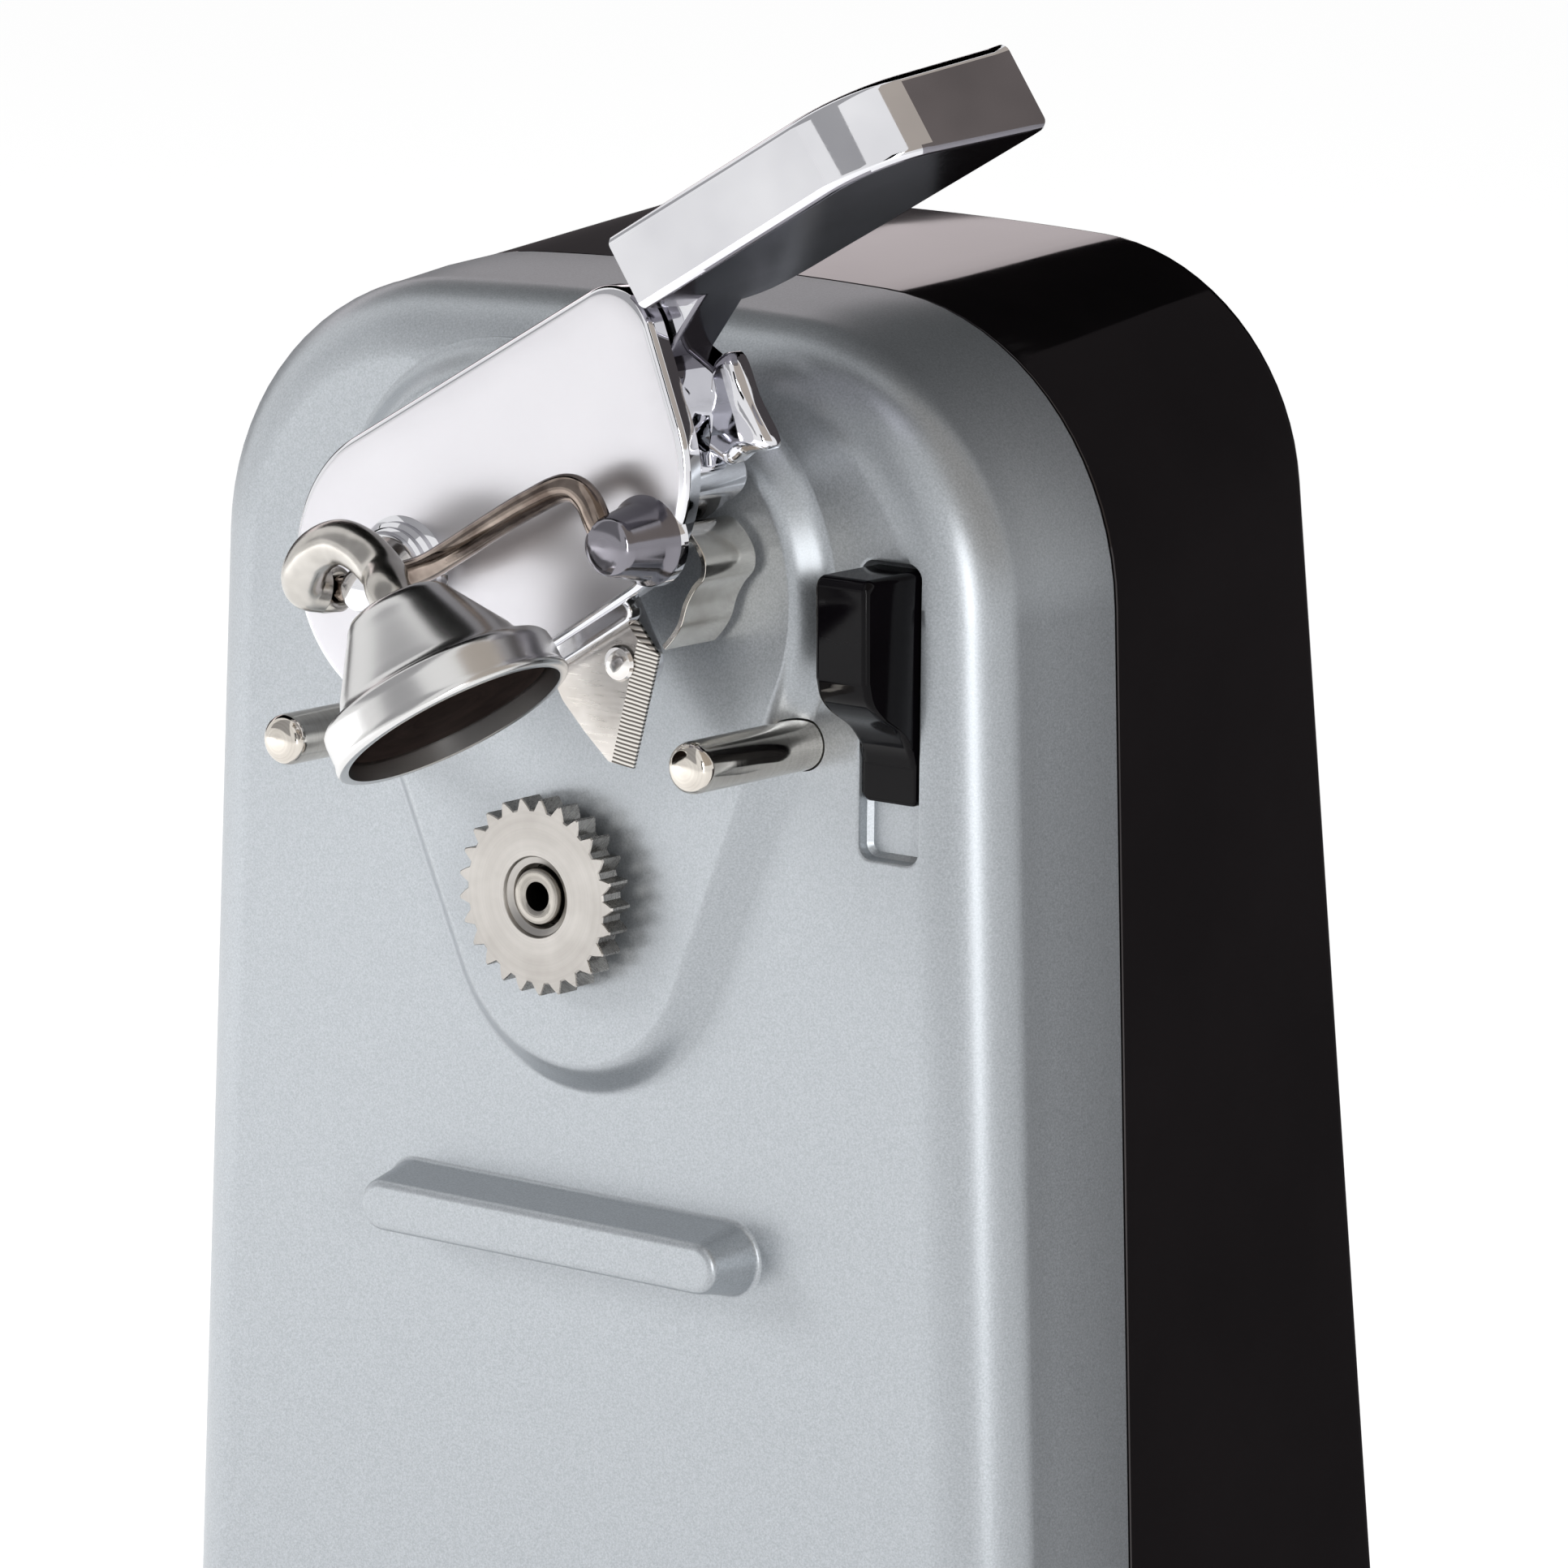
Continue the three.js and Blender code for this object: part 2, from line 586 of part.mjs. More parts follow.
const guidePin = (at) => turned([
  [0, -pinReach], [pinRadius * 0.55, -pinReach + 0.12], [pinRadius * 0.86, -pinReach + 0.5],
  [pinRadius, -pinReach + 1.1], [pinRadius, frameFront - gap], [pinTail, frameFront - gap],
  [pinTail, frameBack + 0.5], [0, frameBack + 0.5],
], at);

const framePost = (at) => turned([
  [0, frameFront], [pinTail, frameFront], [pinTail, frameBack + gap], [postRadius, frameBack + gap],
  [postRadius, frameRear - gap], [pinTail, frameRear - gap], [pinTail, rearFrameBack], [0, rearFrameBack],
], at, 8);

const screw = (tip, shoulder) => (at) => turned([
  [0, tip], [screwRadius, tip], [screwRadius, shoulder + gap], [2.8, shoulder + gap], [2.8, shoulder + 1.6],
  [2.3, shoulder + 2], [0, shoulder + 2],
], at, 8);

function framePlate(y, low, holes) {
  const outline = roundedBox([0, (frameTop + low) / 2], [frameWidth, frameTop - low], 5);
  const cuts = holes.map(([at, radius]) => hole(radius, y - 1, y + frameThickness + 1, at, 8));
  return cut(prism(outline, y, y + frameThickness), ...cuts);
}

const studTail = 2.2;
const arborHoles = [gearA, gearB].map((at) => [at, arborRadius]);
const postHoles = posts.map((at) => [at, pinTail]);
const frontFrame = () => framePlate(frameFront, frontFrameLow, [
  ...arborHoles, ...postHoles, ...frameScrews.map((at) => [at, screwRadius]), [rightPin, pinTail],
  [leftPin, pinTail], [pivot, studTail], [[0, 0], shaftRadius],
]).subtract(switchRoom());
const motorScrews = [-1, 1].map((side) =>
  [motorAxis[0] + side * (stackSize[0] / 2 - motorScrewInset), motorAxis[1] + 14]);
const rearFrame = () => framePlate(frameRear, rearFrameLow, [
  ...arborHoles, ...postHoles, ...motorScrews.map((at) => [at, screwRadius]), [motorAxis, rotorShaftRadius],
  [[0, 0], 2.5],
]);

function outputGear() {
  const wheel = gear(outputTeeth, outputModule, secondLayer, [0, 0], 0);
  const hub = bar(7, firstLayer[0], secondLayer[1]);
  return wheel.add(hub).subtract(hole(shaftRadius, 0, secondLayer[1] + 1));
}

function compoundB() {
  const phase = meshPhase(smallTeeth, [0, 0], gearB, outputTeeth, 0);
  const wheel = gear(wheelBTeeth, moduleB, firstLayer, gearB, 0);
  const pinion = gear(smallTeeth, outputModule, [firstLayer[1] - 0.5, secondLayer[1]], gearB, phase);
  return wheel.add(pinion).subtract(hole(arborRadius, 0, frameRear, gearB));
}

function compoundA() {
  const phase = meshPhase(smallTeeth, gearB, gearA, wheelBTeeth, 0);
  const wheel = gear(wheelATeeth, moduleA, thirdLayer, gearA, 0);
  const pinion = gear(smallTeeth, moduleB, [firstLayer[0], firstLayer[1] + 0.5], gearA, phase);
  const hub = bar(3, firstLayer[1], thirdLayer[0] + 0.5, gearA, 12);
  return join(wheel, pinion, hub).subtract(hole(arborRadius, 0, frameRear, gearA));
}

const arbor = (at) => bar(arborRadius, frameFront, rearFrameBack, at, 12);

// ---- motor --------------------------------------------------------------------------------
const stackFront = rearFrameBack + gap;
const stackBack = stackFront + stackDepth;
const bracketFront = stackBack + bracketStand;
const bracketBack = bracketFront + 1.5;
const stackMiddle = [motorAxis[0], motorAxis[1] + 20 - stackSize[1] / 2];
const stackLow = stackMiddle[1] - stackSize[1] / 2;

function rotorShaft() {
  const phase = meshPhase(motorTeeth, gearA, motorAxis, wheelATeeth, 0);
  const pinion = gear(motorTeeth, moduleA, thirdLayer, motorAxis, phase);
  return pinion.add(bar(rotorShaftRadius, thirdLayer[0] - 1, bracketBack + 1.5, motorAxis, 12));
}

function rotorCore() {
  const core = bar(boreRadius - airGap, stackFront, stackBack, motorAxis, 28);
  return core.subtract(hole(rotorShaftRadius, stackFront - 1, stackBack + 1, motorAxis));
}

function statorCore() {
  const window = [motorAxis[0], stackLow + coilLeg + windowSize[1] / 2];
  return cut(
    prism(roundedBox(stackMiddle, stackSize, 3), stackFront, stackBack),
    bar(boreRadius, stackFront - 1, stackBack + 1, motorAxis, 28),
    prism(roundedBox(window, windowSize, 1), stackFront - 1, stackBack + 1),
    ...motorScrews.map((at) => hole(screwRadius, stackFront - 1, stackBack + 1, at, 8)),
  );
}

function fieldCoil() {
  const middle = [motorAxis[0], (stackFront + stackBack) / 2, stackLow + coilLeg / 2];
  const inner = [stackDepth + 2 * gap, coilLeg + 2 * gap];
  const outer = inner.map((size) => size + 2 * coilBuild - 1);
  const winding = block(middle, [coilWidth, ...outer]);
  return winding.subtract(block(middle, [coilWidth + 2, ...inner]));
}

function motorBracket() {
  const ends = motorScrews.map(([x, z]) => [x, z, 5]);
  const arm = prism(hull([ends[0], [...motorAxis, 7], ends[1]]), bracketFront, bracketBack);
  const feet = motorScrews.map((at) => bar(screwRadius + 2, stackBack + gap, bracketFront + 0.5, at, 16));
  const holes = [...motorScrews.map((at) => [at, screwRadius]), [motorAxis, rotorShaftRadius]];
  const cuts = holes.map(([at, radius]) => hole(radius, stackBack, bracketBack + 1, at, 8));
  return cut(join(arm, ...feet), ...cuts);
}

// ---- slider and its switch ----------------------------------------------------------------
// side view of the slider in (y, z): thumb block above, curved neck, thin tongue below
function slider() {
  const back = trackDepth - gap;
  const low = sliderBottom;
  const face = -sliderReach;
  const side = [
    [back, low], [-sliderFoot + 0.4, low], [-sliderFoot, low + 0.4], [-sliderFoot, low + 3.5],
    [-sliderFoot - 0.5, low + 5.4], [-sliderFoot - 2.4, low + 7.6], [face + 2.6, low + 9.4],
    [face + 0.7, low + 11], [face + 0.1, low + 13], [face, sliderTop - 1.6], [face + 0.5, sliderTop - 0.4],
    [face + 1.6, sliderTop], [back, sliderTop],
  ];
  const edge = 0.6;
  const across = [[0, edge], [edge, 0], [sliderWidth - edge, 0], [sliderWidth, edge]];
  const middle = [(back + face) / 2, (low + sliderTop) / 2];
  const shrink = (v, k, by) => v + Math.sign(middle[k] - v) * by;
  const rows = across.map(([dx, by]) => side.map(([y, z]) =>
    [sliderX - sliderWidth / 2 + dx, y === back ? y : shrink(y, 0, by), shrink(z, 1, by)]));
  const body = skinAlongX(rows);
  return body.add(block([sliderX, stem[1] / 2, stemTop - stem[2] / 2], stem));
}

// a loft whose outlines lie across X
function skinAlongX(rows) {
  const turnedRows = rows.map((row) => row.map(([x, y, z]) => [y, x, z]));
  return loft(turnedRows).transform([0, 1, 0, 0, 1, 0, 0, 0, 0, 0, 1, 0, 0, 0, 0, 1]);
}

const plungerY = stem[1] - plunger[1] / 2;

function switchBody() {
  const bore = [plunger[0] + 2 * gap, plunger[1] + 2 * gap, plunger[2] + 3];
  const box = block(switchMiddle, switchSize);
  return box.subtract(block([sliderX, plungerY, switchTop + 2 - bore[2] / 2], bore));
}

const switchPlunger = () => block([sliderX, plungerY, plungerTop - plunger[2] / 2], plunger);

// ---- lever --------------------------------------------------------------------------------
// The lever is drawn closed, about its pivot, u to the right and w up, then turned open.
const lever = new THREE.Group();
lever.position.set(pivot[0], 0, pivot[1]);
lever.rotation.y = -radians(leverOpen);
mechanism.add(lever);

const plateBack = plateFront + plateThickness;

function leverPlate() {
  const rows = [[plateBack, 0], [plateFront + plateEdge, 0], [plateFront + plateEdge * 0.3, -plateEdge * 0.3],
    [plateFront, -plateEdge]];
  return loft(rows.map(([y, grow]) => hull(plateCircles, grow, 14).map(([u, w]) => [u, y, w])));
}

// handle: a plan outline in (u, y) raised along w, sloping down toward its end
function handle() {
  const [turnAt, radius] = handleCorner;
  const corner = [turnAt, handleFront + radius];
  const toEnd = [handleEnd[0] - corner[0], handleEnd[1] - corner[1]];
  const tangent = degrees(Math.atan2(toEnd[1], toEnd[0]) - Math.acos(radius / Math.hypot(...toEnd)));
  const plan = [[handleTop[0], handleFront], ...arc(corner, radius, -90, tangent, 5), handleEnd, ...handleInner];
  const middle = [0, 1].map((k) => plan.reduce((sum, at) => sum + at[k], 0) / plan.length);
  const topAt = (u) => handleTop[1] - handleSlope * (u - handleTop[0]);
  const lowAt = (u, y) => topAt(u) - handleHeight - handleBelly * (y - handleFront);
  const row = (inset, height) => plan.map((at) => {
    const scale = 1 - inset / distance(at, middle);
    const [u, y] = at.map((value, k) => middle[k] + (value - middle[k]) * scale);
    return [u, y, height(u, y)];
  });
  return loft([
    row(handleEdge, topAt),
    row(0, (u) => topAt(u) - handleEdge),
    row(0, (u, y) => lowAt(u, y) + handleEdge),
    row(handleEdge, lowAt),
  ]);
}

// the wire rises out of the cone boss, turns left and runs straight on through the post
function wirePath() {
  const [u, w] = coneAt;
  const [y, low] = wireAt;
  const straight = [-2, -4.5, -7].map((du) => [postAt[0] + du, y, low + du * wireSlope]);
  return [
    [u - 0.4, coneFront + 2.6, w + 0.6], [u - 0.1, coneFront + 2.3, w + 3.1], [u + 0.1, coneFront + 2.3, w + 5.4],
    [u - 0.4, coneFront + 2.2, w + 7.1], [u - 1.6, coneFront + 2, w + 8.1], [u - 6.3, coneFront + 1.7, w + 8.9],
    [u - 11.4, coneFront + 1.4, w + 9.3], [u - 16.9, y, w + 9.6], [u - 20.8, y, w + 10], [u - 24.8, y, w + 11.1],
    [postAt[0], y, low], ...straight,
  ];
}

function leverCasting() {
  const [pu, pw] = postAt;
  const post = turned([
    [0, plateFront + 1], [6.2, plateFront + 1], [5.9, plateFront], [5.4, plateFront - 0.4],
    [5.3, plateFront - 1.2], [4.9, plateFront - 1.5], [4.9, plateFront - 2.3], [4.6, plateFront - 2.6],
    [4.6, postFront + 0.3], [4.3, postFront], [0, postFront],
  ], [pu, pw]);
  const nose = bar(postNose[0], plateFront, postNose[1], [pu, pw - 0.8]);
  const cone = turned([
    [0, plateFront + 1], [6.6, plateFront + 1], [6, plateFront - 0.3], [4.9, plateFront - 1.2],
    [4, coneFront + 0.5], [3.5, coneFront], [0, coneFront],
  ], coneAt, 18);
  const deep = plateBack - 0.5;
  const skirt = prism(hull([[6, 4, 8], [27, 1, 7.5]]), deep, -7);
  const neck = prism(hull([[28, 5.4, 5], [44, 8.4, 2.6]]), deep - 2, -5.5);
  const lug = prism(hull([[32.4, -6, 2.4], [33.6, -1.2, 2.6], [29.5, 3, 3]]), deep, leverBack - 0.4);
  const sole = prism(hull([[22.4, -8.3, 2.4], [29, -8.3, 2.4], [27, 0, 4]]), deep, -4.6);
  const tongue = prism(hull([[...bladeRivet, 2.6], [11, -8, 5], [10, -2, 4]]), bladeFront + bladeThickness + gap, -8.7);
  const strip = prism(hull([[4, -15.2, 1.2], [17, -16, 1.2]]), plateFront + 0.9, plateBack);
  const casting = join(
    leverPlate(), handle(), post, nose, cone, skirt, neck, lug, sole, tongue, strip, bar(hubRadius, deep, leverBack),
  );
  return cut(
    casting,
    hole(studRadius, plateBack + 1.5, leverBack + 1, [0, 0], 16),
    hole(1, bladeFront, -8, bladeRivet),
    uprightHole(1.2, -12, -7.5, springRivet),
    rod(wirePath(), wireRadius + gap, 24, 5),
  );
}

const magnetWire = () => rod(wirePath(), wireRadius, 24, 5);

const clipFront = frameBack + gap;
const leverStud = () => turned([
  [0, plateBack + 1.5 + gap], [studRadius, plateBack + 1.5 + gap], [studRadius, frameFront - gap],
  [studTail, frameFront - gap], [studTail, clipFront], [studTail - 0.7, clipFront],
  [studTail - 0.7, clipFront + 1.2], [studTail, clipFront + 1.2], [studTail, clipFront + 2], [0, clipFront + 2],
]);

// open spring clip in the stud's groove
function studClip() {
  const ring = bar(4.2, clipFront + 0.2, clipFront + 1).subtract(bar(studTail - 0.4, 0, clipFront + 2));
  return ring.subtract(block([0, clipFront, -4], [2.2, 8, 8]));
}

// cutting blade: a pointed plate behind the lever's plate, its right edge ground
function blade() {
  const outline = [
    [4.5, -9.8], [3.7, -18.9], [5.4, -26.7], [7.1, -28.6], [16.3, -20.9], [15.7, -15.5], [14.6, -9.8],
  ];
  const ground = [[0, 0], [0, 0], [0, 0], [0, 0.9], [-1.5, 0.4], [-1.4, 0], [0, 0]];
  const back = bladeFront + bladeThickness;
  const rows = [
    outline.map(([u, w], i) => [u + ground[i][0], bladeFront, w + ground[i][1]]),
    outline.map(([u, w]) => [u, back - 0.3, w]),
    outline.map(([u, w]) => [u, back, w]),
  ];
  return loft(rows).subtract(hole(1, bladeFront - 1, back + 1, bladeRivet));
}

const bladeRivetPin = () => turned([
  [0, bladeFront - 1], [1.1, bladeFront - 0.9], [1.8, bladeFront - gap], [1, bladeFront - gap], [1, -8.9],
  [0, -8.9],
], bladeRivet, 16);

// leaf spring that steers the can's rim: a strip folded over at the top and waved below
function leafSpring() {
  const curve = curveOf([
    [19, 0, -11.3], [24.6, 0, -11.3], [26, 0, -12.1], [26.6, 0, -14], [26.5, 0, -16], [25.6, 0, -17.2],
    [24, 0, -17.6], [22.2, 0, -18.4], [20.4, 0, -19.7], [18.8, 0, -20.3], [17.4, 0, -20.6],
  ]);
  const steps = 22;
  const side = (offset) => Array.from({ length: steps + 1 }, (_, i) => {
    const at = curve.getPoint(i / steps);
    const along = curve.getTangent(i / steps);
    return [at.x - along.z * offset, at.z + along.x * offset];
  });
  const outline = [...side(-springThickness / 2), ...side(springThickness / 2).reverse()];
  return prism(outline, ...springSides).subtract(uprightHole(1.2, -13, -10, springRivet));
}

const springRivetPin = () => stood([
  [0, -12.9], [1.4, -12.8], [2.1, -11.9], [1.2, -11.9], [1.2, -8], [0, -8],
], springRivet, 16);

// ---- magnet holder ------------------------------------------------------------------------
const sleeveTurn = degrees(Math.atan(wireSlope));
const sleeveHeight = wireAt[1] + (sleeveMiddle - postAt[0]) * wireSlope;
const alongWire = (radius, length) =>
  solid(new THREE.CylinderGeometry(radius, radius, length, 16)).rotate([0, 0, 90])
    .rotate([0, -sleeveTurn, 0]).translate([sleeveMiddle, wireAt[0], sleeveHeight]);

// arched hook from the eye on the wire, over the front of the post and down into the cup
function magnetHook() {
  const [cu, cy] = cupAt;
  const top = cupMouth + cupHeight;
  const arch = rod([
    [sleeveMiddle, wireAt[0] - 0.9, sleeveHeight], [sleeveMiddle + 0.2, wireAt[0] - 2.6, sleeveHeight + 0.5],
    [-7.6, -24.6, 2.8], [-4.4, -25.2, 3.5], [-1, -25.7, 2.6], [1.4, -26.5, 0.3], [3.4, -27.9, -3],
    [5, cy + 0.8, top + 1.6], [cu, cy, top - 0.2], [cu, cy, top - 2],
  ], hookRadius, 20, 5);
  return join(arch, alongWire(wireRadius + 0.9, sleeveLength)).subtract(alongWire(wireRadius + gap, 12));
}

function magnetCup() {
  const inner = cupRadius - cupWall;
  const hole = hookRadius + 2 * gap;
  const profile = [
    [inner, 0], [cupRadius, 0], [cupRadius + 0.15, 0.4], [cupRadius, 0.9], [cupRadius - 0.2, cupRim - 0.6],
    [cupRadius - 0.8, cupRim], [cupRadius - 2, cupRim + 0.4], [cupRadius - 3, cupRim + 1.2],
    [cupTopRadius + 1.5, cupHeight - 3], [cupTopRadius + 0.4, cupHeight - 1], [cupTopRadius - 0.8, cupHeight],
    [hole, cupHeight], [hole, cupHeight - cupWall], [cupTopRadius - 1.4, cupHeight - cupWall],
    [cupTopRadius + 0.4, cupHeight - 3.2], [cupRadius - 4, cupRim + 0.9], [cupRadius - 3.4, cupRim - 0.4],
    [inner - 0.2, cupRim - 0.8], [inner, 0],
  ];
  return stood(profile.map(([r, h]) => [r, cupMouth + h]), cupAt, 20);
}

function magnetDisc() {
  const radius = cupRadius - cupWall - 0.2 - gap;
  const from = cupMouth + discRecess;
  return stood([[0, from], [radius - 0.4, from], [radius, from + 0.4], [radius, from + discThickness - 0.3],
    [0, from + discThickness - 0.3]], cupAt, 20);
}

// ---- assembly -----------------------------------------------------------------------------
place('front_cover', frontCover(), silverPaint);
place('rear_shell', rearShell(), glossBlack);
place('base_plate', basePlate(), mattBlack);
place('cord_gland', cordGland(), rubber);
footPlaces.forEach((at, i) => place(`foot_${i + 1}`, foot(at), rubber));
[...coverBosses, ...shellBosses].forEach((at, i) => place(`base_screw_${i + 1}`, baseScrew(at), zinc));

place('front_frame', frontFrame(), zinc);
place('rear_frame', rearFrame(), zinc);
posts.forEach((at, i) => place(`frame_post_${i + 1}`, framePost(at), zinc));
frameScrews.forEach((at, i) => place(`frame_screw_${i + 1}`, screw(wall + 0.8, frameBack)(at), zinc));
place('guide_pin_right', guidePin(rightPin), nickel);
place('guide_pin_left', guidePin(leftPin), nickel);
place('shaft_bushing', shaftBushing(), brass);
place('drive_shaft', driveShaft(), steel);
place('drive_wheel', driveWheel(), steel);
place('output_gear', outputGear(), steel);
place('gear_b', compoundB(), nylon);
place('gear_b_pin', arbor(gearB), steel);
place('gear_a', compoundA(), nylon);
place('gear_a_pin', arbor(gearA), steel);
place('rotor_shaft', rotorShaft(), steel);
place('rotor_core', rotorCore(), steel);
place('stator_core', statorCore(), steel);
place('field_coil', fieldCoil(), copper);
place('motor_bracket', motorBracket(), zinc);
motorScrews.forEach((at, i) => place(`motor_screw_${i + 1}`, screw(frameRear - 1, bracketBack)(at), zinc));

place('switch_slider', slider(), mattBlack);
place('switch_body', switchBody(), mattBlack);
place('switch_plunger', switchPlunger(), nylon);

place('lever', leverCasting(), chrome, lever);
place('lever_stud', leverStud(), steel, lever);
place('stud_clip', studClip(), steel, lever);
place('leaf_spring', leafSpring(), brightSteel, lever);
place('spring_rivet', springRivetPin(), steel, lever);
place('blade', blade(), steel, lever);
place('blade_rivet', bladeRivetPin(), steel, lever);
place('magnet_wire', magnetWire(), nickel, lever);
place('magnet_hook', magnetHook(), brightSteel, lever);
place('magnet_cup', magnetCup(), chrome, lever);
place('magnet_disc', magnetDisc(), ferrite, lever);

// the origin is the middle of the bounding box on the table
const bounds = new THREE.Box3().setFromObject(opener, true);
const middle = bounds.getCenter(new THREE.Vector3());
mechanism.position.sub(new THREE.Vector3(middle.x, middle.y, bounds.min.z));

export default opener;
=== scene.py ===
# %% [markdown]
# # An electric can opener
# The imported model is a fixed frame: every piece is made in metres exactly where the frame has it, and
# rides on the body that moves it. This lesson rebuilds the pieces that show with smoother meshes, gives
# every surface a finish made of nodes, and stands the opener in a plain pale studio.

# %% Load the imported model
import json
import math
import bmesh
import bpy
from mathutils import Matrix, Vector


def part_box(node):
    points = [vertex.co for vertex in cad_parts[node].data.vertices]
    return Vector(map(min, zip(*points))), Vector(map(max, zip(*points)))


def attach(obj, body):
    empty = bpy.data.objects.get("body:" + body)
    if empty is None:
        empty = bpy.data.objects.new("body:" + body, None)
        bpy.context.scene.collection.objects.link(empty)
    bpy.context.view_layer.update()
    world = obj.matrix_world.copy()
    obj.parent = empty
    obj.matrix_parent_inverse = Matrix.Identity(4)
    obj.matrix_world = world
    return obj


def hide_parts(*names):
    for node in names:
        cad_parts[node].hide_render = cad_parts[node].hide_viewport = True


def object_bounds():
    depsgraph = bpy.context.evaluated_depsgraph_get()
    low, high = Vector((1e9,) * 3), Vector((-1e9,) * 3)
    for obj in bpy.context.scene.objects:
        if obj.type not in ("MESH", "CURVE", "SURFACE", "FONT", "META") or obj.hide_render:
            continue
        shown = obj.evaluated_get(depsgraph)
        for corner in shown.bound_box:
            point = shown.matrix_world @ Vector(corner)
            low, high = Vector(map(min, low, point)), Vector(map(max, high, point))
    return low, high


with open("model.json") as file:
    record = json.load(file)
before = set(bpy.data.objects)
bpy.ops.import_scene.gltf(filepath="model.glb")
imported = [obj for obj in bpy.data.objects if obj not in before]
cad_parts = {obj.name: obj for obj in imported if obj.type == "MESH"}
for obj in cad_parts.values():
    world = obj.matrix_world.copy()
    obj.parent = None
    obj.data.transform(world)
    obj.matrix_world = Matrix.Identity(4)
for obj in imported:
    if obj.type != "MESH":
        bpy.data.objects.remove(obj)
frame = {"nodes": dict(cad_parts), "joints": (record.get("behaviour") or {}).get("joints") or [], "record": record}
cad_low, cad_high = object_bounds()
joints = {joint["name"]: joint for joint in frame["joints"]}
slots = {row["node"]: row["material_slot"] for row in frame["record"]["subparts"]}
scene = bpy.context.scene
print("nodes:", len(frame["nodes"]), "box:", cad_low, cad_high)

# %% [markdown]
# Everything on the front is easiest to draw from one place: the drive wheel's axis, where it crosses
# the front face. The wheel's joint gives the axis. The face lies behind the bar that steadies the can,
# which stands out furthest. Millimetres are used for drawing, since every dimension is small. Two more
# helpers go the other way: the middle of a drawn piece, and a point's x and z on the face.

# %% Places on the body, in millimetres from the wheel's axis
MM = 0.001
ledge_reach = 6.0
wheel_axis = Vector(joints["drive_spin"]["pos_m"])
face_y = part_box("front_cover")[0].y + ledge_reach * MM
origin = Vector((wheel_axis.x, face_y, wheel_axis.z))


def on_body(x, y, z):
    return origin + Vector((x, y, z)) * MM


def middle_of(node):
    low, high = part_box(node)
    return (low + high) / 2


def on_face(point):
    return (point.x - origin.x) / MM, (point.z - origin.z) / MM


print("wheel axis crosses the face at", origin)

# %% [markdown]
# The lever stands open at rest. It is drawn closed, with u along the plate and w up, and then turned
# about its stud. One function does that turn, so no piece on the lever has to think about the angle.

# %% Places on the lever, drawn closed
pivot = Vector(joints["lever_pivot"]["pos_m"]) - origin
lever_open = math.radians(35)


def on_lever(u, y, w):
    x = pivot.x / MM + u * math.cos(lever_open) - w * math.sin(lever_open)
    z = pivot.z / MM + u * math.sin(lever_open) + w * math.cos(lever_open)
    return on_body(x, y, z)


print("lever turns about", pivot / MM, "mm from the wheel's axis")

# %% [markdown]
# The camera stands to the right and a little above, far enough away that the body keeps its straight
# sides. Its three directions are built from a compass angle, a tilt and a slight roll. It stands off
# from the wheel's axis by a distance along each of them.

# %% Camera
yaw, pitch, roll = (math.radians(angle) for angle in (38.245, 10.605, 0.575))
back = Vector((math.sin(yaw) * math.cos(pitch), -math.cos(yaw) * math.cos(pitch), math.sin(pitch)))
level = Vector((math.cos(yaw), math.sin(yaw), 0))
rise = back.cross(level)
right = level * math.cos(roll) + rise * math.sin(roll)
up = rise * math.cos(roll) - level * math.sin(roll)
stand_right, stand_up, stand_back = 20.528, 10.319, 815.227
stand = origin + (right * stand_right + up * stand_up + back * stand_back) * MM
lens = bpy.data.cameras.new("camera")
lens.sensor_width = 36
lens.lens = 186.335
lens.clip_end = 20
camera = bpy.data.objects.new("camera", lens)
camera.matrix_world = Matrix.Translation(stand) @ Matrix((right, up, back)).transposed().to_4x4()
scene.collection.objects.link(camera)
scene.camera = camera
scene.view_settings.view_transform = "Standard"
print("camera at", stand)

# %% [markdown]
# Materials are graphs of nodes. Small helpers keep the cells below readable: one adds a node and sets
# its sockets, one joins two sockets, and one starts a material with its Principled shader. Two more
# start a node group, which is an effect with named inputs and outputs, and place it in a material.

# %% Helpers for node graphs
def add_node(tree, kind, **values):
    node = tree.nodes.new("ShaderNode" + kind)
    for name, value in values.items():
        if hasattr(node, name):
            setattr(node, name, value)
        else:
            node.inputs[name.replace("_", " ")].default_value = value
    return node


def wire(tree, start, end):
    tree.links.new(start, end)


def start_material(name, color, metallic, roughness):
    material = bpy.data.materials.new(name)
    material.use_nodes = True
    shader = material.node_tree.nodes["Principled BSDF"]
    shader.inputs["Base Color"].default_value = (*color, 1)
    shader.inputs["Metallic"].default_value = metallic
    shader.inputs["Roughness"].default_value = roughness
    return material, material.node_tree, shader


def start_group(name, inputs, outputs):
    tree = bpy.data.node_groups.new(name, "ShaderNodeTree")
    for label, value in inputs.items():
        kind = "NodeSocketVector" if isinstance(value, tuple) else "NodeSocketFloat"
        socket = tree.interface.new_socket(label, in_out="INPUT", socket_type=kind)
        socket.default_value = value
    for label in outputs:
        tree.interface.new_socket(label, in_out="OUTPUT", socket_type="NodeSocketFloat")
    start = tree.nodes.new("NodeGroupInput")
    end = tree.nodes.new("NodeGroupOutput")
    return tree, start, end


def place_group(tree, group, **values):
    node = tree.nodes.new("ShaderNodeGroup")
    node.node_tree = group
    for name, value in values.items():
        node.inputs[name.replace("_", " ")].default_value = value
    return node


print("node helpers ready: add_node, wire, start_material, start_group, place_group")

# %% [markdown]
# **Grain.** Paint, plastic and cast metal all have a fine grain: metal flakes in the paint, spark
# texture in the mould. One group makes it from two sizes of noise, measured in millimetres on the real
# piece, and gives a mask and a height that any material can use.

